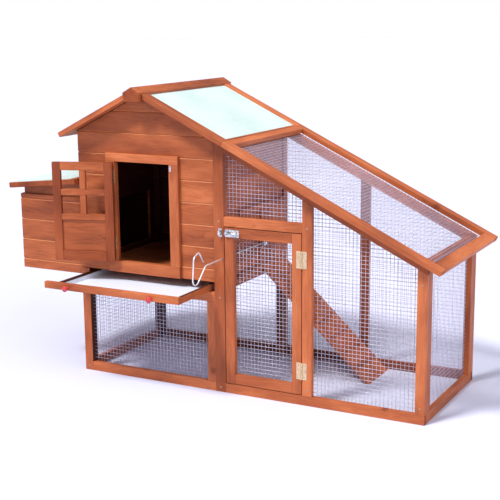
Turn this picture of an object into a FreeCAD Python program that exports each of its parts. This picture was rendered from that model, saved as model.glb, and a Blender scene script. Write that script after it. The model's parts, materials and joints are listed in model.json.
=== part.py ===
import FreeCAD
import Part
import math
import os
import re

# A flat-pack timber chicken coop: a raised hen house with a nest box on its left and a
# wire-mesh run on its right, under one pitched roof. Millimetres, +X to the right seen from
# the front, +Y towards the back, +Z up. All sizes below are measured from the base frame's
# left end, its front face and the floor. The model's origin is on the floor, under the middle
# of everything that shows, so origin_from_left and origin_from_front are taken off at the end.
SIZES = {
    # overall
    "frame_length": 1495.0,
    "frame_depth": 582.0,
    "origin_from_left": 609.0,
    "origin_from_front": 203.25,
    # timber
    "member_width": 38.0,
    "member_thickness": 20.0,
    "board_thickness": 12.0,
    "board_pitch": 85.6,
    "board_set_back": 6.0,
    "groove_size": 5.0,
    "joint_gap": 0.2,
    # house
    "house_right": 676.0,
    "middle_post_width": 44.0,
    "under_stile_width": 36.0,
    "back_post_set_in": 12.0,
    "right_wall_set_in": 20.0,
    "house_floor_level": 401.0,
    "front_boards_bottom": 441.0,
    "floor_board_thickness": 8.0,
    "floor_board_count": 5.0,
    "floor_play": 1.0,
    "floor_batten_size": 18.0,
    "side_boards_bottom": 402.0,
    "first_board_joint": 491.0,
    # house doorway, its trim and its door
    "doorway_left": 184.0,
    "doorway_width": 254.0,
    "doorway_bottom": 487.0,
    "doorway_height": 404.0,
    "trim_thickness": 14.0,
    "trim_side_width": 42.0,
    "trim_top_width": 33.0,
    "door_play": 2.0,
    "house_door_swing": 162.0,
    "house_door_stile": 34.0,
    "house_door_top_rail": 33.0,
    "house_door_bottom_rail": 40.0,
    "window_bar": 24.0,
    "window_light_height": 76.0,
    "door_panel_thickness": 8.0,
    "door_panel_set_back": 6.0,
    "door_hinge_from_bottom": 75.0,
    "door_hinge_from_top": 60.0,
    # run
    "transom_bottom": 666.0,
    "transom_height": 38.0,
    "run_door_opening": 331.0,
    "mid_post_width": 40.0,
    "run_rail_height": 36.0,
    "run_door_gap": 3.0,
    "run_door_stile": 39.0,
    "run_hinge_low": 135.0,
    "run_hinge_down": 100.0,
    # roof
    "ridge_from_left": 315.0,
    "ridge_top_line": 1183.0,
    "ridge_width": 78.0,
    "ridge_peak_rise": 7.0,
    "ridge_shoulder_drop": 22.0,
    "ridge_foot_drop": 57.0,
    "ridge_foot_width": 64.0,
    "ridge_overhang": 17.0,
    "right_roof_rise": 0.477,
    "left_roof_rise": 0.497,
    "right_eave_overhang": 69.0,
    "left_eave_from_left": -55.0,
    "roof_joint_overhang": 28.0,
    "roof_front_overhang": 53.0,
    "roof_back_overhang": 59.0,
    "roof_rail_width": 47.0,
    "roof_rail_thickness": 20.0,
    "cross_rail_width": 30.0,
    "felt_lip": 11.0,
    "roof_board_thickness": 12.0,
    "felt_thickness": 2.5,
    # wire mesh
    "mesh_pitch": 31.0,
    "mesh_wire": 1.8,
    "roof_mesh_lift": 1.0,
    # nest box
    "nest_width": 308.0,
    "nest_bottom": 411.0,
    "nest_top": 725.0,
    "nest_board_pitch": 86.5,
    "nest_first_joint": 450.0,
    "nest_top_strip": 20.0,
    "nest_rail_height": 60.0,
    "lid_outer_edge": 346.0,
    "lid_wall_gap": 8.0,
    "lid_edge_top": 775.0,
    "lid_thickness": 22.0,
    "lid_slope": 5.9,
    "lid_overhang": 20.0,
    "lid_felt_margin": 6.0,
    "lid_hinge_strip": 22.0,
    "lid_hinge_from_end": 140.0,
    "nest_way_in_sill": 60.0,
    "nest_way_in_height": 220.0,
    # droppings tray
    "tray_left": 41.0,
    "tray_right_gap": 68.0,
    "tray_front_left": -16.0,
    "tray_height": 27.0,
    "tray_back_gap": 27.0,
    "tray_rail_thickness": 13.0,
    "tray_pulled_out": 209.0,
    "tray_play": 0.5,
    "tray_sheet_thickness": 1.0,
    "tray_sheet_lift": 3.0,
    "runner_width": 30.0,
    "runner_past_tray": 12.0,
    "left_knob_from_left": 95.0,
    "right_knob_from_left": 485.0,
    "knob_radius": 12.0,
    "knob_length": 22.0,
    "knob_above_rail_foot": 10.0,
    # sliding pop door with its pull rod, and the ramp
    "pop_hole_from_back": 44.0,
    "pop_hole_width": 188.0,
    "pop_hole_bottom": 452.0,
    "pop_hole_height": 230.0,
    "pop_door_thickness": 8.0,
    "pop_door_play": 1.0,
    "pop_door_front_lap": 14.0,
    "pop_door_back_lap": 5.0,
    "pop_door_low_lap": 10.0,
    "pop_door_travel": 190.0,
    "pop_runner_spacer": 11.0,
    "pop_runner_lip": 21.0,
    "pop_runner_lip_thickness": 5.0,
    "pop_runner_end_play": 4.0,
    "rod_radius": 2.6,
    "rod_off_door": 0.3,
    "rod_height": 538.0,
    "rod_hole_play": 1.5,
    "rod_grip": 8.0,
    "handle_root": -127.0,
    "rod_bracket_width": 46.0,
    "rod_bracket_height": 30.0,
    "rod_bracket_thickness": 1.5,
    "rod_lug_length": 12.0,
    "rod_lug_thickness": 2.0,
    "rod_lug_height": 22.0,
    "ramp_width": 208.0,
    "ramp_reach": 474.0,
    "ramp_rise": 436.0,
    "ramp_thickness": 12.0,
    "cleat_size": 10.0,
    "cleat_height": 8.0,
    "cleat_end_margin": 8.0,
    "cleat_spacing": 82.0,
    # hardware
    "hinge_barrel_radius": 3.5,
    "hinge_knuckle_gap": 0.2,
    "hinge_notch_play": 0.4,
    "hinge_pin_radius": 1.5,
    "hinge_pin_play": 0.05,
    "hinge_leaf_thickness": 1.5,
    "run_hinge_height": 66.0,
    "run_hinge_leaf": 21.5,
    "small_hinge_height": 50.0,
    "small_hinge_leaf": 17.0,
    "bolt_radius": 4.0,
    "bolt_play": 0.1,
    "bolt_height": 641.0,
    "bolt_length": 68.0,
    "bolt_off_door": 7.0,
    "bolt_plate_length": 60.0,
    "bolt_plate_height": 28.0,
    "bolt_plate_thickness": 1.5,
    "bolt_staple_size": 14.0,
    "bolt_staple_width": 9.0,
    "bolt_staple_from_end": 4.0,
    "bolt_staple_depth": 11.0,
    "bolt_knob_radius": 2.5,
    "bolt_knob_length": 13.0,
    "bolt_knob_play": 0.5,
    "bolt_past_plate": 1.0,
    "keeper_width": 14.0,
    "keeper_height": 34.0,
    "keeper_from_house_right": 22.0,
    "keeper_block_width": 9.0,
    "keeper_block_height": 16.0,
    "keeper_block_depth": 11.5,
    "keeper_play": 0.8,
    "button_from_doorway": 9.0,
    "button_below_top": 15.0,
    "button_half_width": 4.0,
    "button_half_length": 8.0,
    "button_thickness": 2.0,
    "button_play": 0.5,
    "button_screw_radius": 2.6,
    "button_screw_height": 3.0,
    "screw_head_radius": 4.0,
    "screw_head_height": 1.2,
    "run_screw_height": 60.0,
    "screw_below_rail": 47.0,
}

# Places that follow from others, each a sum of words in the sheet or in this list.
ADDED_UP = {
    "ridge_peak": "ridge_top_line + ridge_peak_rise",
    "back_post_right": "house_right - back_post_set_in",
    "right_wall_outside": "house_right - right_wall_set_in",
    "mid_post_left": "house_right + run_door_opening",
    "run_hinge_high": "transom_bottom - run_hinge_down",
    "right_eave_from_left": "frame_length + right_eave_overhang",
    "roof_joint_from_left": "house_right + roof_joint_overhang",
    "tray_right": "house_right - tray_right_gap",
    "tray_depth": "frame_depth - tray_back_gap",
    "pop_hole_front": "frame_depth - pop_hole_from_back - pop_hole_width",
    "pop_door_front": "pop_hole_front - pop_door_front_lap",
    "pop_door_width": "pop_hole_width + pop_door_front_lap + pop_door_back_lap",
    "pop_door_outside": "right_wall_outside + pop_door_play + pop_door_thickness",
    "rod_from_left": "pop_door_outside + rod_off_door + rod_radius",
    "ramp_top_from_left": "pop_door_outside + pop_door_play + pop_runner_lip_thickness",
}

doc = FreeCAD.newDocument("ChickenCoop")
sheet = doc.addObject("Spreadsheet::Sheet", "Sizes")
for row, (word, number) in enumerate(SIZES.items(), start=1):
    sheet.set("A%d" % row, word)
    sheet.set("B%d" % row, str(number))
    sheet.setAlias("B%d" % row, word)
doc.recompute()


def size(word):
    """One size, read back from the sheet or added up from others."""
    if word in SIZES:
        return float(sheet.get(word))
    total = 0.0
    sign = 1
    for term in ADDED_UP[word].split():
        if term in ("+", "-"):
            sign = 1 if term == "+" else -1
        else:
            total += sign * size(term)
    return total


def spell_out(match):
    word = match.group(0)
    if word in ADDED_UP:
        return "(" + formula(ADDED_UP[word]) + ")"
    return "Sizes." + word if word in SIZES else word


def formula(words):
    """Turn a formula in plain size names into one that points at the sheet."""
    return re.sub(r"[a-z_]+", spell_out, words)


def bind(thing, prop, words):
    thing.setExpression(prop, formula(str(words)))


def move_to(thing, x, y, z):
    """Stand a thing at a place measured from the left end, the front face and the floor."""
    bind(thing, "Placement.Base.x", "(%s) - origin_from_left" % x)
    bind(thing, "Placement.Base.y", "(%s) - origin_from_front" % y)
    bind(thing, "Placement.Base.z", z)


def box(name, length, depth, height, x, y, z):
    """A square-cut timber or plate with its low corner at x, y, z."""
    block = doc.addObject("Part::Box", name)
    bind(block, "Length", length)
    bind(block, "Width", depth)
    bind(block, "Height", height)
    move_to(block, x, y, z)
    return block


def inner_box(name, length, depth, height, x, y, z):
    """A box measured from the corner of the group that it belongs to."""
    block = box(name, length, depth, height, 0, 0, 0)
    bind(block, "Placement.Base.x", x)
    bind(block, "Placement.Base.y", y)
    bind(block, "Placement.Base.z", z)
    return block


def cylinder(name, radius, height):
    rod = doc.addObject("Part::Cylinder", name)
    bind(rod, "Radius", radius)
    bind(rod, "Height", height)
    return rod


def lay_along(thing, direction, x, y, z):
    """Turn an upright cylinder to lie along a direction, with its foot at x, y, z."""
    turn = FreeCAD.Rotation(FreeCAD.Vector(0, 0, 1), FreeCAD.Vector(*direction))
    thing.Placement = FreeCAD.Placement(FreeCAD.Vector(0, 0, 0), turn)
    move_to(thing, x, y, z)
    return thing


def group(name, things):
    bundle = doc.addObject("Part::Compound", name)
    bundle.Links = things
    return bundle


def fuse(name, things):
    joined = doc.addObject("Part::MultiFuse", name)
    joined.Shapes = things
    return joined


def cut(name, body, tool):
    result = doc.addObject("Part::Cut", name)
    result.Base = body
    result.Tool = tool
    return result


pieces = []


def piece(label, thing):
    """Give a finished sub-part its name."""
    thing.Label = label
    pieces.append(thing)
    return thing


# ---------------------------------------------------------------- roof lines

def right_roof_top(x):
    """Height of the right slope's top face, x from the left end."""
    return size("ridge_top_line") - size("right_roof_rise") * (x - size("ridge_from_left"))


def left_roof_top(x):
    return size("ridge_top_line") - size("left_roof_rise") * (size("ridge_from_left") - x)


def right_angle():
    return math.degrees(math.atan(size("right_roof_rise")))


def left_angle():
    return math.degrees(math.atan(size("left_roof_rise")))


def rail_line(x):
    """Height of the underside of the run's sloping top rails."""
    below = size("roof_rail_thickness") + size("run_rail_height")
    return right_roof_top(x) - below / math.cos(math.radians(right_angle()))


def lean_right(thing):
    """Stand a group on the right slope: its x runs down the slope from the ridge's side."""
    x = size("ridge_from_left") + size("ridge_width") / 2
    base = FreeCAD.Vector(x - size("origin_from_left"), -size("origin_from_front"), right_roof_top(x))
    turn = FreeCAD.Rotation(FreeCAD.Vector(0, 1, 0), right_angle())
    thing.Placement = FreeCAD.Placement(base, turn)
    return thing


def lean_left(thing):
    """Stand a group on the left slope: its x runs up the slope to the ridge's side at 0."""
    x = size("ridge_from_left") - size("ridge_width") / 2
    base = FreeCAD.Vector(x - size("origin_from_left"), -size("origin_from_front"), left_roof_top(x))
    turn = FreeCAD.Rotation(FreeCAD.Vector(0, 1, 0), -left_angle())
    thing.Placement = FreeCAD.Placement(base, turn)
    return thing


def make_roof_space():
    """All the space above the roof's underside, for cutting posts and walls to the roof."""
    right = lean_right(group("RightRoofSpaceGroup", [inner_box(
        "RightRoofSpace", "frame_length * 2", "frame_depth * 2", "600",
        "-400", "-frame_depth / 2", "-roof_rail_thickness")]))
    left = lean_left(group("LeftRoofSpaceGroup", [inner_box(
        "LeftRoofSpace", "frame_length + 400", "frame_depth * 2", "600",
        "-frame_length", "-frame_depth / 2", "-roof_rail_thickness")]))
    ridge = box("RidgeSpace", "ridge_width", "frame_depth * 2", "400",
                "ridge_from_left - ridge_width / 2", "-frame_depth / 2", "ridge_peak - ridge_foot_drop")
    return fuse("RoofSpace", [right, left, ridge])


roof_space = make_roof_space()
ridge_room = box("RidgeRoom", "ridge_width", "frame_depth * 2", "ridge_peak",
                 "ridge_from_left - ridge_width / 2", "-frame_depth / 2", 0)


def make_rail_cutters():
    """The space above and below the run's sloping top rails."""
    above = lean_right(group("AboveRailGroup", [inner_box(
        "AboveRail", "frame_length * 2", "frame_depth * 2", "600",
        "-400", "-frame_depth / 2", "-roof_rail_thickness - run_rail_height")]))
    below = lean_right(group("BelowRailGroup", [inner_box(
        "BelowRail", "frame_length * 2", "frame_depth * 2", "900",
        "-400", "-frame_depth / 2", "-roof_rail_thickness - run_rail_height - 900")]))
    return above, below


above_rail, below_rail = make_rail_cutters()


# ---------------------------------------------------------------- wire mesh

def keep_side(corners, start, end):
    """The part of a flat outline to the left of the line from start to end."""
    kept = []
    for index, here in enumerate(corners):
        there = corners[(index + 1) % len(corners)]
        side_here = (end[0] - start[0]) * (here[1] - start[1]) - (end[1] - start[1]) * (here[0] - start[0])
        side_there = (end[0] - start[0]) * (there[1] - start[1]) - (end[1] - start[1]) * (there[0] - start[0])
        if side_here >= 0:
            kept.append(here)
        if side_here * side_there < 0:
            part = side_here / (side_here - side_there)
            kept.append((here[0] + part * (there[0] - here[0]), here[1] + part * (there[1] - here[1])))
    return kept


def area_of(corners):
    total = 0.0
    for index, here in enumerate(corners):
        there = corners[(index + 1) % len(corners)]
        total += here[0] * there[1] - there[0] * here[1]
    return total / 2


def flat_wire(corners):
    points = [FreeCAD.Vector(a, b, 0) for a, b in corners]
    return Part.makePolygon(points + [points[0]])


def mesh_sheet(width, left_height, right_height):
    """Welded mesh in the XY plane: square holes between wires, cut off under a straight top edge."""
    wire = size("mesh_wire")
    columns = max(1, round(width / size("mesh_pitch")))
    rows = max(1, round(max(left_height, right_height) / size("mesh_pitch")))
    step_x = width / columns
    step_y = max(left_height, right_height) / rows
    outline = [(0, 0), (width, 0), (width, right_height), (0, left_height)]
    top_right = (width - wire, right_height - wire)
    top_left = (wire, left_height - wire)
    holes = []
    for column in range(columns):
        for row in range(rows):
            low_x = column * step_x + wire / 2
            high_x = (column + 1) * step_x - wire / 2
            low_y = row * step_y + wire / 2
            high_y = (row + 1) * step_y - wire / 2
            hole = [(low_x, low_y), (high_x, low_y), (high_x, high_y), (low_x, high_y)]
            hole = keep_side(hole, (wire, 0), (wire, -1))
            hole = keep_side(hole, (width - wire, 0), (width - wire, 1))
            hole = keep_side(hole, (0, wire), (1, wire))
            hole = keep_side(hole, top_right, top_left)
            if len(hole) > 2 and area_of(hole) > wire * wire:
                holes.append(flat_wire(hole))
    face = Part.makeFace([flat_wire(outline)] + holes, "Part::FaceMakerCheese")
    return face.extrude(FreeCAD.Vector(0, 0, wire))


def upright_mesh(x, z, width, left_height, right_height, y):
    """A mesh sheet that faces the front, with its low left corner at x, z and its front face at y."""
    sheet_shape = mesh_sheet(width, left_height, right_height)
    turn = FreeCAD.Rotation(FreeCAD.Vector(1, 0, 0), 90)
    place = FreeCAD.Vector(x - size("origin_from_left"), y + size("mesh_wire") - size("origin_from_front"), z)
    sheet_shape.Placement = FreeCAD.Placement(place, turn)
    return sheet_shape


def sideways_mesh(y, z, depth, height, x):
    """A mesh sheet that faces the side, with its low front corner at y, z and its right face at x."""
    sheet_shape = mesh_sheet(depth, height, height)
    turn = FreeCAD.Rotation(FreeCAD.Vector(0, 1, 0), FreeCAD.Vector(0, 0, 1), FreeCAD.Vector(1, 0, 0), "XYZ")
    place = FreeCAD.Vector(x - size("mesh_wire") - size("origin_from_left"), y - size("origin_from_front"), z)
    sheet_shape.Placement = FreeCAD.Placement(place, turn)
    return sheet_shape


def mesh_piece(label, shapes):
    """One node of wire mesh, from one or more sheets."""
    thing = doc.addObject("Part::Feature", "Mesh")
    thing.Shape = shapes[0] if len(shapes) == 1 else Part.makeCompound(shapes)
    return piece(label, thing)


# ---------------------------------------------------------------- posts of the house

def make_posts():
    left = box("LeftPost", "member_width", "member_width", "ridge_peak", 0, 0, 0)
    # the front boards run across this post, so it is cut back behind them
    behind_boards = box("LeftPostRebate", "member_width * 2",
                        "member_thickness + board_set_back + board_thickness + joint_gap", "ridge_peak",
                        "-member_width / 2", "-member_thickness", "front_boards_bottom - joint_gap")
    left = cut("LeftPostRebated", left, behind_boards)
    piece("front_left_post", cut("FrontLeftPost", left, roof_space))

    middle = box("MiddlePost", "middle_post_width", "member_width", "ridge_peak",
                 "house_right - middle_post_width", 0, 0)
    rod_hole = cylinder("RodHole", "rod_radius + rod_hole_play", "member_width * 2")
    lay_along(rod_hole, (0, 1, 0), "rod_from_left", "-member_width / 2", "rod_height")
    middle = cut("MiddlePostDrilled", middle, rod_hole)
    piece("front_middle_post", cut("FrontMiddlePost", middle, roof_space))

    back_left = box("BackLeftPost", "member_width", "member_width", "ridge_peak",
                    0, "frame_depth - member_width", 0)
    back_right = box("BackRightPost", "member_width", "member_width", "ridge_peak",
                     "back_post_right - member_width", "frame_depth - member_width", 0)
    piece("back_posts", cut("BackPosts", group("BackPostPair", [back_left, back_right]), roof_space))


# ---------------------------------------------------------------- frames and mesh under the house

def make_under_front():
    """The framed mesh panel below the tray, between the two front posts."""
    span = "house_right - middle_post_width - member_width"
    bottom = box("UnderFrontBottom", span, "member_thickness", "member_width", "member_width", 0, 0)
    top = box("UnderFrontTop", span, "member_thickness", "member_width",
              "member_width", 0, "house_floor_level - member_width")
    stile = box("UnderFrontStile", "under_stile_width", "member_thickness",
                "house_floor_level - 2 * member_width - 2 * joint_gap",
                "house_right - middle_post_width - under_stile_width", 0, "member_width + joint_gap")
    piece("under_front_frame", group("UnderFrontFrame", [bottom, top, stile]))

    left = size("member_width")
    low = size("member_width")
    width = size("house_right") - size("middle_post_width") - size("under_stile_width") - left
    height = size("house_floor_level") - 2 * size("member_width")
    back_face = size("member_thickness") - size("mesh_wire")
    mesh_piece("under_front_mesh", [upright_mesh(left, low, width, height, height, back_face)])


def make_under_left():
    span = "frame_depth - 2 * member_width"
    bottom = box("UnderLeftBottom", "member_thickness", span, "member_width", 0, "member_width", 0)
    top = box("UnderLeftTop", "member_thickness", span, "member_width",
              0, "member_width", "house_floor_level - member_width")
    piece("under_left_rails", group("UnderLeftRails", [bottom, top]))


def make_under_back():
    span = "back_post_right - 2 * member_width"
    back = "frame_depth - member_thickness"
    bottom = box("UnderBackBottom", span, "member_thickness", "member_width", "member_width", back, 0)
    top = box("UnderBackTop", span, "member_thickness", "member_width",
              "member_width", back, "house_floor_level - member_width")
    piece("under_back_rails", group("UnderBackRails", [bottom, top]))


def make_under_side_meshes():
    low = size("member_width")
    height = size("house_floor_level") - 2 * low
    left_mesh = sideways_mesh(low, low, size("frame_depth") - 2 * low, height, size("member_thickness"))
    back_face = size("frame_depth") - size("member_thickness")
    width = size("back_post_right") - 2 * low
    back_mesh = upright_mesh(low, low, width, height, height, back_face)
    mesh_piece("under_left_and_back_mesh", [left_mesh, back_mesh])


def make_tray_runners():
    """Two battens that carry the tray's side rails."""
    depth = "frame_depth - 2 * member_thickness"
    low = "house_floor_level - member_thickness"
    left = box("LeftRunner", "runner_width", depth, "member_thickness",
               "member_width", "member_thickness", low)
    right = box("RightRunner", "runner_width", depth, "member_thickness",
                "tray_right - runner_width + runner_past_tray", "member_thickness", low)
    piece("tray_runners", group("TrayRunners", [left, right]))


# ---------------------------------------------------------------- boarded walls

def stacked_boards(name, run_axis, length, thickness, x, y, bottom, first_joint, pitch, top):
    """Boards laid edge to edge from bottom to top, a hair apart; run_axis is X or Y."""
    levels = [(bottom, first_joint)]
    count = int(math.ceil((top - size(first_joint)) / size(pitch)))
    for index in range(count):
        low = "%s + %d * %s" % (first_joint, index, pitch)
        high = "%s + %d * %s" % (first_joint, index + 1, pitch)
        levels.append((low, high))
    boards = []
    for low, high in levels:
        height = "(%s) - (%s) - joint_gap" % (high, low)
        if run_axis == "X":
            boards.append(box(name + "Board", length, thickness, height, x, y, low))
        else:
            boards.append(box(name + "Board", thickness, length, height, x, y, low))
    return group(name + "Boards", boards), [high for low, high in levels[:-1]]


def grooves(name, run_axis, joints, length, x, y):
    """Square strips turned on edge, which cut a V along each joint; x, y is on the boards' face."""
    strips = []
    for joint in joints:
        strip = doc.addObject("Part::Box", name + "Groove")
        bind(strip, "Width" if run_axis == "Y" else "Length", length)
        bind(strip, "Length" if run_axis == "Y" else "Width", "groove_size")
        bind(strip, "Height", "groove_size")
        axis = FreeCAD.Vector(1, 0, 0) if run_axis == "X" else FreeCAD.Vector(0, 1, 0)
        strip.Placement = FreeCAD.Placement(FreeCAD.Vector(0, 0, 0), FreeCAD.Rotation(axis, 45))
        middle = "(%s) - joint_gap / 2" % joint
        if run_axis == "X":
            move_to(strip, x, y, "%s - groove_size * 0.7071" % middle)
        else:
            move_to(strip, "(%s) - groove_size * 0.7071" % x, y, middle)
        strips.append(strip)
    return group(name + "Grooves", strips)


def make_front_boards():
    """The front wall, from the left corner to the middle post, with the doorway sawn out."""
    span = "house_right - middle_post_width"
    boards, joints = stacked_boards("Front", "X", span, "board_thickness", 0, "board_set_back",
                                    "front_boards_bottom", "first_board_joint", "board_pitch",
                                    size("ridge_peak"))
    v_cuts = grooves("Front", "X", joints, span, 0, "board_set_back")
    doorway = box("FrontDoorway", "doorway_width", "board_thickness * 4", "doorway_height",
                  "doorway_left", "board_set_back - board_thickness", "doorway_bottom")
    wall = cut("FrontWallGrooved", boards, v_cuts)
    wall = cut("FrontWallOpened", wall, doorway)
    piece("house_front_boards", cut("FrontWall", wall, roof_space))


def make_back_boards():
    span = "back_post_right - 2 * member_width"
    face = "frame_depth - board_set_back"
    boards, joints = stacked_boards("Back", "X", span, "board_thickness", "member_width",
                                    face + " - board_thickness", "side_boards_bottom",
                                    "first_board_joint", "board_pitch", size("ridge_peak"))
    v_cuts = grooves("Back", "X", joints, span, "member_width", face)
    wall = cut("BackWallGrooved", boards, v_cuts)
    piece("house_back_boards", cut("BackWall", wall, roof_space))


def make_left_boards():
    """The left wall, with the way into the nest box sawn out."""
    span = "frame_depth - 2 * member_width"
    boards, joints = stacked_boards("Left", "Y", span, "board_thickness", 0, "member_width",
                                    "side_boards_bottom", "first_board_joint", "board_pitch",
                                    left_roof_top(size("board_thickness")))
    v_cuts = grooves("Left", "Y", joints, span, 0, "member_width")
    way_in = box("NestWayIn", "board_thickness * 4", "frame_depth - 4 * member_width",
                 "nest_way_in_height", "-board_thickness", "2 * member_width",
                 "nest_bottom + nest_way_in_sill")
    wall = cut("LeftWallGrooved", boards, v_cuts)
    wall = cut("LeftWallOpened", wall, way_in)
    piece("house_left_boards", cut("LeftWall", wall, roof_space))


def make_right_boards():
    """The wall between house and run, with the pop hole sawn out."""
    span = "frame_depth - 2 * member_width"
    boards, joints = stacked_boards("Right", "Y", span, "board_thickness",
                                    "right_wall_outside - board_thickness", "member_width",
                                    "side_boards_bottom", "first_board_joint", "board_pitch",
                                    right_roof_top(size("right_wall_outside")))
    v_cuts = grooves("Right", "Y", joints, span, "right_wall_outside", "member_width")
    hole = box("PopHole", "board_thickness * 4", "pop_hole_width", "pop_hole_height",
               "right_wall_outside - board_thickness * 2", "pop_hole_front", "pop_hole_bottom")
    wall = cut("RightWallGrooved", boards, v_cuts)
    wall = cut("RightWallOpened", wall, hole)
    piece("house_right_boards", cut("RightWall", wall, roof_space))


def make_house_floor():
    """Boards laid side to side over the tray, and the two battens that they rest on."""
    left = "board_thickness + floor_play"
    right = "right_wall_outside - board_thickness - floor_play"
    front = "member_width + floor_play"
    depth = "(frame_depth - 2 * member_width - 2 * floor_play)"
    things = []
    for index in range(int(size("floor_board_count"))):
        things.append(box("FloorBoard%d" % index, right + " - (%s)" % left,
                          depth + " / floor_board_count - joint_gap", "floor_board_thickness", left,
                          front + " + %d * %s / floor_board_count" % (index, depth), "front_boards_bottom"))
    low = "front_boards_bottom - joint_gap - floor_batten_size"
    for name, x in (("FloorLeftBatten", left), ("FloorRightBatten", right + " - floor_batten_size")):
        things.append(box(name, "floor_batten_size", depth, "floor_batten_size", x, front, low))
    piece("house_floor", group("HouseFloor", things))


def make_door_trim():
    """Four flat strips planted around the doorway."""
    front = "board_set_back - trim_thickness"
    outer_left = "doorway_left - trim_side_width"
    full_width = "doorway_width + 2 * trim_side_width"
    low = "front_boards_bottom"
    top = box("TrimTop", full_width, "trim_thickness", "trim_top_width",
              outer_left, front, "doorway_bottom + doorway_height")
    bottom = box("TrimBottom", full_width, "trim_thickness", "doorway_bottom - " + low,
                 outer_left, front, low)
    side_height = "doorway_height - 2 * joint_gap"
    left = box("TrimLeft", "trim_side_width", "trim_thickness", side_height,
               outer_left, front, "doorway_bottom + joint_gap")
    right = box("TrimRight", "trim_side_width", "trim_thickness", side_height,
                "doorway_left + doorway_width", front, "doorway_bottom + joint_gap")
    piece("house_door_trim", group("DoorTrim", [top, bottom, left, right]))


# ---------------------------------------------------------------- run

def make_run_front_rails():
    sill = box("RunSill", "frame_length - house_right", "member_thickness", "member_width",
               "house_right", 0, 0)
    transom = box("RunTransom", "mid_post_left - house_right", "member_thickness", "transom_height",
                  "house_right", 0, "transom_bottom")
    piece("run_front_rails", group("RunFrontRails", [sill, transom]))


def make_run_front_posts():
    height = "ridge_peak - member_width"
    mid = box("RunMidPost", "mid_post_width", "member_thickness", height,
              "mid_post_left", 0, "member_width")
    corner = box("RunCornerPost", "member_width", "member_thickness", height,
                 "frame_length - member_width", 0, "member_width")
    piece("run_front_posts", cut("RunFrontPosts", group("RunFrontPostPair", [mid, corner]), above_rail))


def sloping_rail(name, left, y):
    """A top rail under the roof, from left to the base frame's right end."""
    block = box(name + "Block", "frame_length - (%s)" % left, "member_thickness", "ridge_peak", left, y, 0)
    block = cut(name + "Trimmed", block, roof_space)
    return cut(name, block, below_rail)


def make_run_front_top_rail():
    piece("run_front_top_rail", sloping_rail("RunFrontTopRail", "house_right", 0))


def make_run_front_mesh():
    """Mesh beside the run door, and above the transom."""
    back_face = size("member_thickness") - size("mesh_wire")
    left = size("mid_post_left") + size("mid_post_width")
    right = size("frame_length") - size("member_width")
    low = size("member_width")
    beside = upright_mesh(left, low, right - left, rail_line(left) - low,
                          rail_line(right) - low, back_face)
    left = size("house_right")
    right = size("mid_post_left")
    low = size("transom_bottom") + size("transom_height")
    above = upright_mesh(left, low, right - left, rail_line(left) - low,
                         rail_line(right) - low, back_face)
    mesh_piece("run_front_mesh", [beside, above])


def make_run_end():
    """The framed mesh panel that closes the run's right end."""
    x = "frame_length - member_thickness"
    front = "member_thickness"
    depth = "frame_depth - 2 * member_thickness"
    stile_height = "ridge_peak - member_width"
    bottom = box("EndBottom", "member_thickness", depth, "member_width", x, front, 0)
    front_stile = box("EndFrontStile", "member_thickness", "member_width", stile_height,
                      x, front, "member_width + joint_gap")
    back_stile = box("EndBackStile", "member_thickness", "member_width", stile_height,
                     x, "frame_depth - member_thickness - member_width", "member_width + joint_gap")
    top_block = box("EndTopBlock", "member_thickness", depth + " - 2 * member_width - 2 * joint_gap",
                    "ridge_peak", x, "member_thickness + member_width + joint_gap", 0)
    top = cut("EndTop", cut("EndTopTrimmed", top_block, roof_space), below_rail)
    stiles = cut("EndStiles", group("EndStilePair", [front_stile, back_stile]), roof_space)
    piece("run_end_frame", group("RunEndFrame", [bottom, stiles, top]))

    start = size("member_thickness") + size("member_width")
    width = size("frame_depth") - 2 * start
    low = size("member_width")
    face = size("frame_length") - size("member_thickness") + size("mesh_wire")
    height = rail_line(face) - low
    mesh_piece("run_end_mesh", [sideways_mesh(start, low, width, height, face)])


def make_run_back():
    """The framed mesh panel along the back of the run."""
    y = "frame_depth - member_thickness"
    left = "back_post_right"
    bottom = box("BackSill", "frame_length - back_post_right", "member_thickness", "member_width", left, y, 0)
    height = "ridge_peak - member_width"
    low = "member_width + joint_gap"
    mid = box("BackMidPost", "mid_post_width", "member_thickness", height, "mid_post_left", y, low)
    corner = box("BackCornerPost", "member_width", "member_thickness", height,
                 "frame_length - member_width", y, low)
    posts = cut("BackPostsTrimmed", group("BackRunPosts", [mid, corner]), above_rail)
    piece("run_back_frame", group("RunBackFrame", [bottom, posts]))
    piece("run_back_top_rail", sloping_rail("RunBackTopRail", left, y))

    front_face = size("frame_depth") - size("member_thickness")
    low = size("member_width")
    first = size("back_post_right")
    middle = size("mid_post_left")
    left_sheet = upright_mesh(first, low, middle - first, rail_line(first) - low,
                              rail_line(middle) - low, front_face)
    start = middle + size("mid_post_width")
    end = size("frame_length") - size("member_width")
    right_sheet = upright_mesh(start, low, end - start, rail_line(start) - low,
                               rail_line(end) - low, front_face)
    mesh_piece("run_back_mesh", [left_sheet, right_sheet])


# ---------------------------------------------------------------- roof

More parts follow.
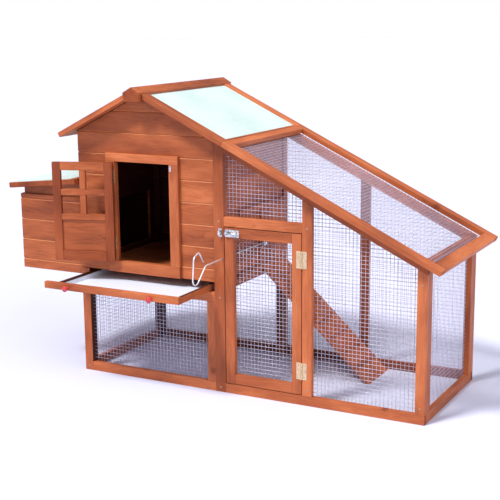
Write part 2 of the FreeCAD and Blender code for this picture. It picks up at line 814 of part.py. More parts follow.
def make_ridge_beam():
    """The five-sided beam along the ridge."""
    x = size("ridge_from_left")
    peak = size("ridge_peak")
    shoulder = peak - size("ridge_shoulder_drop")
    foot = peak - size("ridge_foot_drop")
    half = size("ridge_width") / 2
    foot_half = size("ridge_foot_width") / 2
    corners = [(x, peak), (x - half, shoulder), (x - foot_half, foot), (x + foot_half, foot),
               (x + half, shoulder)]
    y = -size("roof_front_overhang") - size("ridge_overhang")
    length = size("frame_depth") + size("roof_back_overhang") + size("ridge_overhang") - y
    points = [FreeCAD.Vector(a - x, 0, b - peak) for a, b in corners]
    beam = doc.addObject("Part::Feature", "RidgeBeam")
    beam.Shape = Part.Face(Part.makePolygon(points + [points[0]])).extrude(FreeCAD.Vector(0, length, 0))
    place = FreeCAD.Vector(x - size("origin_from_left"), y - size("origin_from_front"), peak)
    beam.Placement = FreeCAD.Placement(place, FreeCAD.Rotation())
    piece("ridge_beam", beam)


right_length = "(roof_joint_from_left - ridge_from_left - ridge_width / 2) * sqrt(1 + right_roof_rise ^ 2)"
left_length = "(ridge_from_left - ridge_width / 2 - left_eave_from_left) * sqrt(1 + left_roof_rise ^ 2)"
mesh_length = "(right_eave_from_left - roof_joint_from_left) * sqrt(1 + right_roof_rise ^ 2)"
front_edge = "-roof_front_overhang"
back_edge = "frame_depth + roof_back_overhang"
inner_depth = "frame_depth + roof_back_overhang + roof_front_overhang - 2 * roof_rail_width"


def make_right_roof():
    """The closed panel right of the ridge: two edge rails and a lip, a board and its felt."""
    front = inner_box("RightRoofFront", right_length + " - joint_gap", "roof_rail_width",
                      "roof_rail_thickness", 0, front_edge, "-roof_rail_thickness")
    back = inner_box("RightRoofBack", right_length + " - joint_gap", "roof_rail_width",
                     "roof_rail_thickness", 0, back_edge + " - roof_rail_width", "-roof_rail_thickness")
    lip = inner_box("RightRoofLip", "felt_lip", inner_depth + " - 2 * joint_gap", "roof_rail_thickness",
                    right_length + " - felt_lip - joint_gap",
                    front_edge + " + roof_rail_width + joint_gap", "-roof_rail_thickness")
    leaning = lean_right(group("RightRoofRails", [front, back, lip]))
    piece("roof_right_frame", cut("RightRoofFrame", leaning, ridge_room))


def make_left_roof():
    """The closed panel left of the ridge."""
    front = inner_box("LeftRoofFront", left_length, "roof_rail_width", "roof_rail_thickness",
                      "-" + left_length, front_edge, "-roof_rail_thickness")
    back = inner_box("LeftRoofBack", left_length, "roof_rail_width", "roof_rail_thickness",
                     "-" + left_length, back_edge + " - roof_rail_width", "-roof_rail_thickness")
    eave = inner_box("LeftRoofEave", "roof_rail_width", inner_depth + " - 2 * joint_gap",
                     "roof_rail_thickness", "-" + left_length,
                     front_edge + " + roof_rail_width + joint_gap", "-roof_rail_thickness")
    leaning = lean_left(group("LeftRoofRails", [front, back, eave]))
    piece("roof_left_frame", cut("LeftRoofFrame", leaning, ridge_room))


def make_roof_boards():
    inside = front_edge + " + roof_rail_width"
    right_board = inner_box("RightRoofBoard", right_length + " - felt_lip - joint_gap", inner_depth,
                            "roof_board_thickness", 0, inside, "-roof_rail_thickness")
    left_board = inner_box("LeftRoofBoard", left_length + " - roof_rail_width", inner_depth,
                           "roof_board_thickness", "-%s + roof_rail_width" % left_length, inside,
                           "-roof_rail_thickness")
    right_group = lean_right(group("RightBoardGroup", [right_board]))
    left_group = lean_left(group("LeftBoardGroup", [left_board]))
    piece("roof_boards", cut("RoofBoards", group("RoofBoardPair", [right_group, left_group]), ridge_room))

    level = "-roof_rail_thickness + roof_board_thickness"
    right_felt = inner_box("RightFelt", right_length + " - felt_lip - joint_gap", inner_depth,
                           "felt_thickness", 0, inside, level)
    left_felt = inner_box("LeftFelt", left_length + " - roof_rail_width", inner_depth,
                          "felt_thickness", "-%s + roof_rail_width" % left_length, inside, level)
    right_cover = lean_right(group("RightFeltGroup", [right_felt]))
    left_cover = lean_left(group("LeftFeltGroup", [left_felt]))
    piece("roof_felt", cut("RoofFelt", group("RoofFeltPair", [right_cover, left_cover]), ridge_room))


def make_mesh_roof():
    """The framed mesh panel over the run."""
    start = right_length
    front = inner_box("MeshRoofFront", mesh_length, "roof_rail_width", "roof_rail_thickness",
                      start, front_edge, "-roof_rail_thickness")
    back = inner_box("MeshRoofBack", mesh_length, "roof_rail_width", "roof_rail_thickness",
                     start, back_edge + " - roof_rail_width", "-roof_rail_thickness")
    between = inner_depth + " - 2 * joint_gap"
    inside = front_edge + " + roof_rail_width + joint_gap"
    cross = inner_box("MeshRoofCross", "cross_rail_width", between, "roof_rail_thickness",
                      start, inside, "-roof_rail_thickness")
    eave = inner_box("MeshRoofEave", "roof_rail_width", between, "roof_rail_thickness",
                     start + " + " + mesh_length + " - roof_rail_width", inside, "-roof_rail_thickness")
    piece("roof_mesh_frame", lean_right(group("MeshRoofFrame", [front, back, cross, eave])))

    stretch = math.sqrt(1 + size("right_roof_rise") ** 2)
    first = (size("roof_joint_from_left") - size("ridge_from_left") - size("ridge_width") / 2) * stretch
    first += size("cross_rail_width")
    length = (size("right_eave_from_left") - size("roof_joint_from_left")) * stretch
    length -= size("cross_rail_width") + size("roof_rail_width")
    depth = size("frame_depth") + size("roof_back_overhang") + size("roof_front_overhang")
    depth -= 2 * size("roof_rail_width")
    sheet_shape = mesh_sheet(length, depth, depth)
    low_corner = FreeCAD.Vector(first, size("roof_rail_width") - size("roof_front_overhang"),
                                size("roof_mesh_lift") - size("roof_rail_thickness"))
    sheet_shape.Placement = FreeCAD.Placement(low_corner, FreeCAD.Rotation())
    thing = doc.addObject("Part::Feature", "MeshRoofSheet")
    thing.Shape = Part.makeCompound([sheet_shape])
    piece("roof_mesh", lean_right(thing))


# ---------------------------------------------------------------- nest box

def lid_top(x):
    """Height of the lid's top face, x from the left end (negative over the nest box)."""
    return size("lid_edge_top") + math.tan(math.radians(size("lid_slope"))) * (x + size("lid_outer_edge"))


def place_lid(thing):
    """Stand a group on the lid's lower left edge, x running up the slope to the house."""
    base = FreeCAD.Vector(-size("lid_outer_edge") - size("origin_from_left"), -size("origin_from_front"),
                          size("lid_edge_top"))
    turn = FreeCAD.Rotation(FreeCAD.Vector(0, 1, 0), -size("lid_slope"))
    thing.Placement = FreeCAD.Placement(base, turn)
    return thing


def make_nest_boards():
    """Front, back and outer side of the nest box, each with a narrow strip along its top."""
    top = size("nest_first_joint") + 3 * size("nest_board_pitch") + size("nest_top_strip")
    span = "nest_width - joint_gap"
    front, joints = stacked_boards("NestFront", "X", span, "board_thickness", "-nest_width",
                                   "board_set_back", "nest_bottom", "nest_first_joint",
                                   "nest_board_pitch", top)
    front_cuts = grooves("NestFront", "X", joints, span, "-nest_width", "board_set_back")
    face = "frame_depth - board_set_back"
    back, joints = stacked_boards("NestBack", "X", span, "board_thickness", "-nest_width",
                                  face + " - board_thickness", "nest_bottom", "nest_first_joint",
                                  "nest_board_pitch", top)
    back_cuts = grooves("NestBack", "X", joints, span, "-nest_width", face)
    side_span = "frame_depth - 2 * board_set_back - 2 * board_thickness - 2 * joint_gap"
    side, joints = stacked_boards("NestSide", "Y", side_span, "board_thickness", "-nest_width",
                                  "board_set_back + board_thickness + joint_gap", "nest_bottom",
                                  "nest_first_joint", "nest_board_pitch", top)
    side_cuts = grooves("NestSide", "Y", joints, side_span, "-nest_width",
                        "board_set_back + board_thickness + joint_gap")
    boards = [cut("NestFrontWall", front, front_cuts), cut("NestBackWall", back, back_cuts),
              cut("NestSideWall", side, side_cuts)]
    above = box("AboveNestBoards", "nest_width * 2", "frame_depth * 2", "nest_board_pitch * 2",
                "-nest_width * 1.5", "-frame_depth / 2",
                "nest_first_joint + 3 * nest_board_pitch + nest_top_strip")
    piece("nest_box_boards", cut("NestBoxBoards", group("NestBoxWalls", boards), above))


def make_nest_floor():
    front = "board_set_back + board_thickness"
    floor = box("NestFloor", "nest_width - board_thickness", "frame_depth - 2 * (%s)" % front,
                "board_thickness", "-nest_width + board_thickness", front, "nest_bottom")
    piece("nest_floor", floor)


def make_nest_top_rails():
    """Two rails behind the front and back boards, sawn to the lid's slope."""
    lid_space = place_lid(group("LidSpaceGroup", [inner_box(
        "LidSpace", "lid_outer_edge * 2", "frame_depth * 2", "400",
        "-lid_outer_edge / 2", "-frame_depth / 2", "-lid_thickness")]))
    front = "board_set_back + board_thickness"
    length = "nest_width - board_thickness"
    low = "nest_top - nest_rail_height"
    front_rail = box("NestFrontRail", length, "member_thickness", "nest_rail_height * 4",
                     "-nest_width + board_thickness", front, low)
    back_rail = box("NestBackRail", length, "member_thickness", "nest_rail_height * 4",
                    "-nest_width + board_thickness", "frame_depth - (%s) - member_thickness" % front, low)
    piece("nest_top_rails", cut("NestTopRails", group("NestRailPair", [front_rail, back_rail]), lid_space))


def make_nest_lid():
    length = "(lid_outer_edge - lid_wall_gap) / cos(lid_slope * 1 deg)"
    lid = inner_box("LidBoard", length, "frame_depth + 2 * lid_overhang", "lid_thickness",
                    0, "-lid_overhang", "-lid_thickness")
    piece("nest_lid", place_lid(group("NestLid", [lid])))
    felt = inner_box("LidFelt", "(%s) - lid_felt_margin - lid_hinge_strip" % length,
                     "frame_depth + 2 * lid_overhang - 2 * lid_felt_margin", "felt_thickness",
                     "lid_felt_margin", "lid_felt_margin - lid_overhang", 0)
    piece("nest_lid_felt", place_lid(group("NestLidFelt", [felt])))


# ---------------------------------------------------------------- hinges

def fixed_leaf(name, height, leaf):
    """A hinge leaf with its two end knuckles and the pin, the pin upright at 0, 0.

    The leaf runs along +x and lies with its back on a face one barrel radius away in +y."""
    plate = inner_box(name + "Plate", leaf, "hinge_leaf_thickness", height,
                      0, "hinge_barrel_radius - hinge_leaf_thickness", "-(%s) / 2" % height)
    room = cylinder(name + "Room", "hinge_barrel_radius + hinge_notch_play", "(%s) / 3" % height)
    bind(room, "Placement.Base.z", "-(%s) / 6" % height)
    plate = cut(name + "Notched", plate, room)
    low = cylinder(name + "LowKnuckle", "hinge_barrel_radius", "(%s) / 3 - hinge_knuckle_gap" % height)
    bind(low, "Placement.Base.z", "-(%s) / 2" % height)
    high = cylinder(name + "HighKnuckle", "hinge_barrel_radius", "(%s) / 3 - hinge_knuckle_gap" % height)
    bind(high, "Placement.Base.z", "(%s) / 6 + hinge_knuckle_gap" % height)
    pin = cylinder(name + "Pin", "hinge_pin_radius", height)
    bind(pin, "Placement.Base.z", "-(%s) / 2" % height)
    return fuse(name, [plate, low, high, pin])


def moving_leaf(name, height, leaf):
    """The other leaf, with the middle knuckle bored for the pin."""
    plate = inner_box(name + "Plate", leaf, "hinge_leaf_thickness", height,
                      0, "hinge_barrel_radius - hinge_leaf_thickness", "-(%s) / 2" % height)
    low_room = cylinder(name + "LowRoom", "hinge_barrel_radius + hinge_notch_play", "(%s) / 3 + 1" % height)
    bind(low_room, "Placement.Base.z", "-(%s) / 2 - 1" % height)
    high_room = cylinder(name + "HighRoom", "hinge_barrel_radius + hinge_notch_play", "(%s) / 3 + 1" % height)
    bind(high_room, "Placement.Base.z", "(%s) / 6" % height)
    plate = cut(name + "Notched", plate, group(name + "Rooms", [low_room, high_room]))
    knuckle = cylinder(name + "Knuckle", "hinge_barrel_radius", "(%s) / 3 - hinge_knuckle_gap" % height)
    bind(knuckle, "Placement.Base.z", "hinge_knuckle_gap / 2 - (%s) / 6" % height)
    bore = cylinder(name + "Bore", "hinge_pin_radius + hinge_pin_play", height)
    bind(bore, "Placement.Base.z", "-(%s) / 2" % height)
    return cut(name, fuse(name + "Solid", [plate, knuckle]), bore)


def face_to(thing, along, towards, x, y, z):
    """Place a leaf: along is where its plate runs, towards is the face it lies on."""
    x_axis = FreeCAD.Vector(*along)
    y_axis = FreeCAD.Vector(*towards)
    turn = FreeCAD.Rotation(x_axis, y_axis, x_axis.cross(y_axis), "XYZ")
    thing.Placement = FreeCAD.Placement(FreeCAD.Vector(0, 0, 0), turn)
    move_to(thing, x, y, z)
    return thing


def swing(thing, angle):
    """Turn a house door piece about its hinge pins; 0 is shut."""
    x = size("doorway_left") + size("door_play") / 2 - size("origin_from_left")
    y = size("board_set_back") - size("trim_thickness") - size("hinge_barrel_radius")
    centre = FreeCAD.Vector(x, y - size("origin_from_front"), 0)
    opened = FreeCAD.Rotation(FreeCAD.Vector(0, 0, 1), -angle)
    turn = FreeCAD.Placement(FreeCAD.Vector(0, 0, 0), opened, centre)
    thing.Placement = turn.multiply(thing.Placement)
    return thing


def make_house_door_hinges():
    x = "doorway_left + door_play / 2"
    y = "board_set_back - trim_thickness - hinge_barrel_radius"
    fixed = []
    moving = []
    for index, z in enumerate(["doorway_bottom + door_hinge_from_bottom",
                               "doorway_bottom + doorway_height - door_hinge_from_top"]):
        leaf = fixed_leaf("DoorFixedLeaf%d" % index, "small_hinge_height", "small_hinge_leaf")
        fixed.append(face_to(leaf, (-1, 0, 0), (0, 1, 0), x, y, z))
        leaf = moving_leaf("DoorMovingLeaf%d" % index, "small_hinge_height", "small_hinge_leaf")
        moving.append(face_to(leaf, (1, 0, 0), (0, 1, 0), x, y, z))
    piece("house_door_hinge_fixed_leaves", group("DoorFixedLeaves", fixed))
    leaves = group("DoorMovingLeaves", moving)
    piece("house_door_hinge_door_leaves", swing(leaves, size("house_door_swing")))


def make_run_door_hinges():
    x = "mid_post_left - run_door_gap / 2"
    y = "-hinge_barrel_radius"
    fixed = []
    moving = []
    for index, z in enumerate(["run_hinge_low", "run_hinge_high"]):
        leaf = fixed_leaf("RunFixedLeaf%d" % index, "run_hinge_height", "run_hinge_leaf")
        fixed.append(face_to(leaf, (1, 0, 0), (0, 1, 0), x, y, z))
        leaf = moving_leaf("RunMovingLeaf%d" % index, "run_hinge_height", "run_hinge_leaf")
        moving.append(face_to(leaf, (-1, 0, 0), (0, 1, 0), x, y, z))
    piece("run_door_hinge_post_leaves", group("RunFixedLeaves", fixed))
    piece("run_door_hinge_door_leaves", group("RunMovingLeaves", moving))


def lid_pin_height():
    """Height of the lid hinge pins, one barrel radius above the lid's top face."""
    radius = size("hinge_barrel_radius")
    return lid_top(-radius) + radius / math.cos(math.radians(size("lid_slope")))


def make_lid_hinges():
    slope = math.radians(size("lid_slope"))
    down_slope = (-math.cos(slope), 0, -math.sin(slope))
    into_lid = (math.sin(slope), 0, -math.cos(slope))
    z = "%r" % lid_pin_height()
    fixed = []
    moving = []
    for index, y in enumerate(["lid_hinge_from_end", "frame_depth - lid_hinge_from_end"]):
        leaf = fixed_leaf("LidFixedLeaf%d" % index, "small_hinge_height", "small_hinge_leaf")
        fixed.append(face_to(leaf, (0, 0, 1), (1, 0, 0), "-hinge_barrel_radius", y, z))
        leaf = moving_leaf("LidMovingLeaf%d" % index, "small_hinge_height", "small_hinge_leaf")
        moving.append(face_to(leaf, down_slope, into_lid, "-hinge_barrel_radius", y, z))
    piece("nest_lid_hinge_wall_leaves", group("LidFixedLeaves", fixed))
    piece("nest_lid_hinge_lid_leaves", group("LidMovingLeaves", moving))


# ---------------------------------------------------------------- house door

def make_house_door():
    """The door with four open lights above a plain panel, standing open."""
    left = "doorway_left + door_play"
    width = "doorway_width - 2 * door_play"
    low = "doorway_bottom + door_play"
    height = "doorway_height - 2 * door_play"
    y = "board_set_back - trim_thickness"
    thick = "member_thickness"
    inner_width = width + " - 2 * house_door_stile - 2 * joint_gap"
    inner_left = left + " + house_door_stile + joint_gap"
    left_stile = box("DoorLeftStile", "house_door_stile", thick, height, left, y, low)
    right_stile = box("DoorRightStile", "house_door_stile", thick, height,
                      left + " + " + width + " - house_door_stile", y, low)
    top = box("DoorTopRail", inner_width, thick, "house_door_top_rail",
              inner_left, y, low + " + " + height + " - house_door_top_rail")
    bottom = box("DoorBottomRail", inner_width, thick, "house_door_bottom_rail", inner_left, y, low)
    sash_top = low + " + " + height + " - house_door_top_rail"
    mid_low = sash_top + " - 2 * window_light_height - window_bar * 2"
    mid = box("DoorMidRail", inner_width, thick, "window_bar", inner_left, y, mid_low)
    cross_bar = box("DoorCrossBar", inner_width, thick, "window_bar",
                    inner_left, y, sash_top + " - window_light_height - window_bar")
    middle = left + " + (" + width + ") / 2 - window_bar / 2"
    upper_bar = box("DoorUpperBar", "window_bar", thick, "window_light_height - 2 * joint_gap",
                    middle, y, sash_top + " - window_light_height + joint_gap")
    lower_bar = box("DoorLowerBar", "window_bar", thick, "window_light_height - 2 * joint_gap",
                    middle, y, sash_top + " - 2 * window_light_height - window_bar + joint_gap")
    frame = group("HouseDoorFrame", [left_stile, right_stile, top, bottom, mid, cross_bar,
                                     upper_bar, lower_bar])
    piece("house_door_frame", swing(frame, size("house_door_swing")))

    panel_low = low + " + house_door_bottom_rail"
    panel = box("DoorPanelBoard", width + " - 2 * house_door_stile", "door_panel_thickness",
                "(%s) - (%s)" % (mid_low, panel_low), left + " + house_door_stile",
                y + " + door_panel_set_back", panel_low)
    piece("house_door_panel", swing(group("HouseDoorPanel", [panel]), size("house_door_swing")))


def make_turn_button():
    """A small turning button on the doorway's trim, with its screw."""
    x = "doorway_left + doorway_width + button_from_doorway"
    z = "doorway_bottom + doorway_height - button_below_top"
    front = "board_set_back - trim_thickness - button_play - button_thickness"
    plate = box("ButtonPlate", "2 * button_half_width", "button_thickness", "2 * button_half_length",
                x + " - button_half_width", front, z + " - button_half_length")
    upper = lay_along(cylinder("ButtonUpperEnd", "button_half_width", "button_thickness"), (0, 1, 0),
                      x, front, z + " + button_half_length")
    lower = lay_along(cylinder("ButtonLowerEnd", "button_half_width", "button_thickness"), (0, 1, 0),
                      x, front, z + " - button_half_length")
    head = lay_along(cylinder("ButtonScrewHead", "button_screw_radius", "button_screw_height"), (0, 1, 0),
                     x, front + " - button_thickness", z)
    piece("house_door_button", fuse("HouseDoorButton", [plate, upper, lower, head]))


# ---------------------------------------------------------------- run door

def make_run_door():
    left = "house_right + run_door_gap"
    low = "member_width + run_door_gap"
    width = "run_door_opening - 2 * run_door_gap"
    height = "transom_bottom - member_width - 2 * run_door_gap"
    thick = "member_thickness"
    stile = "run_door_stile"
    left_stile = box("RunDoorLeftStile", stile, thick, height, left, 0, low)
    right_stile = box("RunDoorRightStile", stile, thick, height,
                      left + " + " + width + " - run_door_stile", 0, low)
    inner = width + " - 2 * run_door_stile - 2 * joint_gap"
    inner_left = left + " + run_door_stile + joint_gap"
    top = box("RunDoorTopRail", inner, thick, stile, inner_left, 0,
              low + " + " + height + " - run_door_stile")
    bottom = box("RunDoorBottomRail", inner, thick, stile, inner_left, 0, low)
    piece("run_door_frame", group("RunDoorFrame", [left_stile, right_stile, top, bottom]))

    x = size("house_right") + size("run_door_gap") + size("run_door_stile")
    z = size("member_width") + size("run_door_gap") + size("run_door_stile")
    span = size("mid_post_left") - size("run_door_gap") - size("run_door_stile") - x
    rise = size("transom_bottom") - size("run_door_gap") - size("run_door_stile") - z
    back_face = size("member_thickness") - size("mesh_wire")
    mesh_piece("run_door_mesh", [upright_mesh(x, z, span, rise, rise, back_face)])


def make_bolt():
    """A barrel bolt: base plate with two bored staples, the sliding rod, and its keeper on the post."""
    left = "house_right + run_door_gap"
    plate_left = left + " + run_door_gap"
    plate = box("BoltPlate", "bolt_plate_length", "bolt_plate_thickness", "bolt_plate_height",
                plate_left, "-bolt_plate_thickness", "bolt_height - bolt_plate_height / 2")
    staple_front = "-bolt_plate_thickness - bolt_staple_depth"
    staples = []
    far_staple = plate_left + " + bolt_plate_length - bolt_staple_from_end - bolt_staple_width"
    for index, start in enumerate([plate_left + " + bolt_staple_from_end", far_staple]):
        block = box("BoltStaple%d" % index, "bolt_staple_width", "bolt_staple_depth", "bolt_staple_size",
                    start, staple_front, "bolt_height - bolt_staple_size / 2")
        staples.append(block)
    body = fuse("BoltBarrelSolid", [plate] + staples)
    bore = lay_along(cylinder("BoltBore", "bolt_radius + bolt_play", "bolt_length * 2"), (1, 0, 0),
                     left + " - bolt_length / 2", "-bolt_off_door", "bolt_height")
    piece("bolt_barrel", cut("BoltBarrel", body, bore))

    rod_left = plate_left + " - bolt_past_plate"
    rod = lay_along(cylinder("BoltRodBar", "bolt_radius", "bolt_length"), (1, 0, 0),
                    rod_left, "-bolt_off_door", "bolt_height")
    knob = lay_along(cylinder("BoltRodKnob", "bolt_knob_radius", "bolt_knob_length"), (0, 0, -1),
                     far_staple + " - bolt_knob_radius - bolt_knob_play", "-bolt_off_door",
                     "bolt_height - bolt_knob_radius")
    piece("bolt_rod", fuse("BoltRod", [rod, knob]))

    keeper_left = "house_right - keeper_from_house_right"
    keeper_plate = box("KeeperPlate", "keeper_width", "bolt_plate_thickness", "keeper_height",
                       keeper_left, "-bolt_plate_thickness", "bolt_height - keeper_height / 2")
    keeper_block = box("KeeperBlock", "keeper_block_width", "keeper_block_depth", "keeper_block_height",
                       keeper_left + " + (keeper_width - keeper_block_width) / 2",
                       "-bolt_plate_thickness - keeper_block_depth",
                       "bolt_height - keeper_block_height / 2")
    hole = lay_along(cylinder("KeeperHole", "bolt_radius + keeper_play", "keeper_width * 3"), (1, 0, 0),
                     keeper_left + " - keeper_width", "-bolt_off_door", "bolt_height")
    keeper = cut("BoltKeeper", fuse("KeeperSolid", [keeper_plate, keeper_block]), hole)
    piece("bolt_keeper", keeper)


# ---------------------------------------------------------------- tray

def make_tray():
    """The pull-out droppings tray, standing part-way out."""
    low = "house_floor_level + tray_play"
    front = "-member_thickness - tray_play - tray_pulled_out"
    rail_start = "-tray_play - tray_pulled_out + joint_gap"
    rail_length = "tray_depth - tray_play - joint_gap"
    front_rail = box("TrayFrontRail", "tray_right - tray_front_left", "member_thickness", "tray_height",
                     "tray_front_left", front, low)
    left = box("TrayLeftRail", "tray_rail_thickness", rail_length, "tray_height",
               "tray_left", rail_start, low)
    right = box("TrayRightRail", "tray_rail_thickness", rail_length, "tray_height",
                "tray_right - tray_rail_thickness", rail_start, low)
    between = "tray_right - tray_left - 2 * tray_rail_thickness - 2 * joint_gap"
    back = box("TrayBackRail", between, "tray_rail_thickness", "tray_height",
               "tray_left + tray_rail_thickness + joint_gap",
               rail_start + " + " + rail_length + " - tray_rail_thickness", low)
    piece("tray_frame", group("TrayFrame", [front_rail, left, right, back]))

    sheet_box = box("TraySheetPlate", "tray_right - tray_left - 2 * tray_rail_thickness",
                    rail_length + " - tray_rail_thickness + joint_gap", "tray_sheet_thickness",
                    "tray_left + tray_rail_thickness", rail_start + " - joint_gap",
                    low + " + tray_sheet_lift")
    piece("tray_sheet", sheet_box)

    knobs = []
    for index, x in enumerate(["left_knob_from_left", "right_knob_from_left"]):
        stem = lay_along(cylinder("KnobStem%d" % index, "knob_radius * 0.5", "knob_length * 0.55"),
                         (0, -1, 0), x, front, low + " + knob_above_rail_foot")
        head = lay_along(cylinder("KnobHead%d" % index, "knob_radius", "knob_length * 0.5"),
                         (0, -1, 0), x, front + " - knob_length * 0.5", low + " + knob_above_rail_foot")
        knobs.append(fuse("Knob%d" % index, [stem, head]))
    piece("tray_knobs", group("TrayKnobs", knobs))


# ---------------------------------------------------------------- pop door, rod and ramp

def make_pop_door():
    """A plain board that slides over the pop hole on the run side."""
    x = "right_wall_outside + pop_door_play"
    low = "pop_hole_bottom - pop_door_low_lap"
    height = "pop_hole_height + 2 * pop_door_low_lap"
    board = box("PopDoor", "pop_door_thickness", "pop_door_width", height, x, "pop_door_front", low)
    piece("pop_door", board)


def make_pop_door_runners():
    """Two grooved strips that hold the pop door's lower and upper edges."""
    start = "pop_door_front - pop_door_travel - pop_runner_end_play"
    length = "pop_door_width + pop_door_travel + pop_runner_end_play"
    room = "pop_door_thickness + 2 * pop_door_play"
    low_edge = "pop_hole_bottom - pop_door_low_lap - pop_door_play"
    high_edge = "pop_hole_bottom + pop_hole_height + pop_door_low_lap + pop_door_play"
    strips = []
    for index, (spacer_low, lip_low) in enumerate([
            (low_edge + " - pop_runner_spacer", low_edge + " - pop_runner_spacer"),
            (high_edge, high_edge + " + pop_runner_spacer - pop_runner_lip")]):
        spacer = box("RunnerSpacer%d" % index, room, length, "pop_runner_spacer",
                     "right_wall_outside", start, spacer_low)
        lip = box("RunnerLip%d" % index, "pop_runner_lip_thickness", length, "pop_runner_lip",
                  "right_wall_outside + " + room, start, lip_low)
        strips.append(fuse("Runner%d" % index, [spacer, lip]))
    piece("pop_door_runners", group("PopDoorRunners", strips))


def wire_run(name, radius, corners):
    """A bent rod: straight lengths with a ball at each bend; corners are (y, z) pairs."""
    parts = []
    for index in range(len(corners) - 1):
        (y0, z0), (y1, z1) = corners[index], corners[index + 1]
        length = math.hypot(y1 - y0, z1 - z0)
        bar = cylinder("%sBar%d" % (name, index), radius, "%r" % length)
        lay_along(bar, (0, y1 - y0, z1 - z0), "rod_from_left", "%r" % y0, "%r" % z0)
        parts.append(bar)
        if index:
            ball = doc.addObject("Part::Sphere", "%sBend%d" % (name, index))
            bind(ball, "Radius", radius)
            move_to(ball, "rod_from_left", "%r" % y0, "%r" % z0)
            parts.append(ball)
    return fuse(name, parts)


def make_pull_rod():
    """The rod that pulls the pop door open from outside, with a bent handle in front of the post."""
    level = size("rod_height")
    root = size("handle_root")
    inner_end = size("pop_hole_front") - size("rod_grip")
    # the handle's bends, each as (forward of the root, above the rod)
    bends = [(61, -58), (82, -61), (96, -46), (86, 46), (49, 61), (14, 16)]
    corners = [(inner_end, level), (root, level)]
    corners += [(root - forward, level + up) for forward, up in bends]
    piece("pull_rod", wire_run("PullRod", "rod_radius", corners))

    plate = box("BracketPlate", "rod_bracket_thickness", "rod_bracket_width", "rod_bracket_height",
                "pop_door_outside", "pop_door_front", "rod_height - rod_bracket_height / 2")
    lug = box("BracketLug", "rod_lug_length", "rod_lug_thickness", "rod_lug_height",
              "pop_door_outside", "pop_door_front", "rod_height - rod_lug_height / 2")
    bracket = fuse("BracketSolid", [plate, lug])
    hole = lay_along(cylinder("BracketHole", "rod_radius", "rod_bracket_width * 2"), (0, 1, 0),
                     "rod_from_left", "pop_door_front - rod_bracket_width / 2", "rod_height")
    piece("pull_rod_bracket", cut("PullRodBracket", bracket, hole))


def lean_ramp(thing):
    """Stand a group on the ramp's foot: x runs up the ramp to the house, z is off its top face."""
    top_x = size("ramp_top_from_left")
    angle = math.degrees(math.atan2(size("ramp_rise"), size("ramp_reach")))
    middle = size("pop_hole_front") + size("pop_hole_width") / 2 - size("ramp_width") / 2
    foot = FreeCAD.Vector(top_x + size("ramp_reach") - size("origin_from_left"),
                          middle - size("origin_from_front"), 0)
    turn = FreeCAD.Rotation(FreeCAD.Vector(0, 0, 1), 180)
    lean = FreeCAD.Rotation(FreeCAD.Vector(0, 1, 0), angle)
    thing.Placement = FreeCAD.Placement(foot, lean.multiply(turn))
    return thing


def make_ramp():
    """The boarded ramp from the run's floor to the pop hole, with its cleats."""
    length = "sqrt(ramp_reach ^ 2 + ramp_rise ^ 2)"
    board = inner_box("RampPlank", length, "ramp_width", "ramp_thickness",
                      0, "-ramp_width", "-ramp_thickness")
    leaning = lean_ramp(group("RampLeaning", [board]))
    below_floor = box("BelowFloor", "frame_length", "frame_depth", "ramp_rise",
                      "house_right", 0, "-ramp_rise")
    wall_side = box("WallSide", "member_width", "frame_depth", "ramp_rise * 2",
                    "ramp_top_from_left - member_width", 0, 0)
    trimmed = cut("RampAboveFloor", leaning, below_floor)
    piece("ramp_board", cut("RampBoard", trimmed, wall_side))

    cleats = []
    span = math.hypot(size("ramp_reach"), size("ramp_rise"))
    count = int((span - 6 * size("cleat_size")) // size("cleat_spacing"))
    for index in range(count):
        cleat = inner_box("Cleat%d" % index, "cleat_size", "ramp_width - 2 * cleat_end_margin",
                          "cleat_height", "cleat_spacing * %d" % (index + 1),
                          "cleat_end_margin - ramp_width", 0)
        cleats.append(cleat)
    piece("ramp_cleats", lean_ramp(group("RampCleats", cleats)))


# ---------------------------------------------------------------- screws

def make_frame_screws():
    """Round screw heads on the front faces of the posts and rails."""
    sill = "member_width / 2"
    floor_rail = "house_floor_level - member_width / 2"
    transom = "transom_bottom + transom_height / 2"
    left_post = "member_width / 2"
    middle_post = "house_right - middle_post_width / 2"
    mid_post = "mid_post_left + mid_post_width / 2"
    end_post = "frame_length - member_width / 2"
    high = "%r" % (rail_line(size("frame_length") - size("member_width") / 2) - size("screw_below_rail"))
    spots = [(left_post, sill), (left_post, floor_rail), (middle_post, sill), (middle_post, floor_rail),
             (middle_post, transom), (mid_post, "run_screw_height"), (mid_post, transom),
             (end_post, "run_screw_height"), (end_post, high)]
    heads = []
    for index, (x, z) in enumerate(spots):
        head = cylinder("ScrewHead%d" % index, "screw_head_radius", "screw_head_height")
        heads.append(lay_along(head, (0, -1, 0), x, 0, z))
    piece("frame_screws", group("FrameScrews", heads))


make_posts()
make_under_front()
make_under_left()
make_under_back()
make_under_side_meshes()
make_tray_runners()
make_front_boards()
make_back_boards()
make_left_boards()
make_right_boards()
make_house_floor()
make_door_trim()
make_run_front_rails()
make_run_front_posts()
make_run_front_top_rail()
make_run_front_mesh()
make_run_end()
make_run_back()
make_ridge_beam()
make_right_roof()
make_left_roof()
make_roof_boards()
make_mesh_roof()
make_nest_boards()
make_nest_floor()
make_nest_top_rails()
make_nest_lid()
make_house_door()
make_house_door_hinges()
make_turn_button()
make_run_door()
make_run_door_hinges()
make_lid_hinges()
make_bolt()
make_tray()
make_pop_door()
make_pop_door_runners()
make_pull_rod()
make_ramp()
make_frame_screws()
doc.recompute()

for thing in doc.Objects:
    if "Invalid" in thing.State or "Error" in thing.State:
        raise RuntimeError("%s did not recompute: %s" % (thing.Label, thing.State))

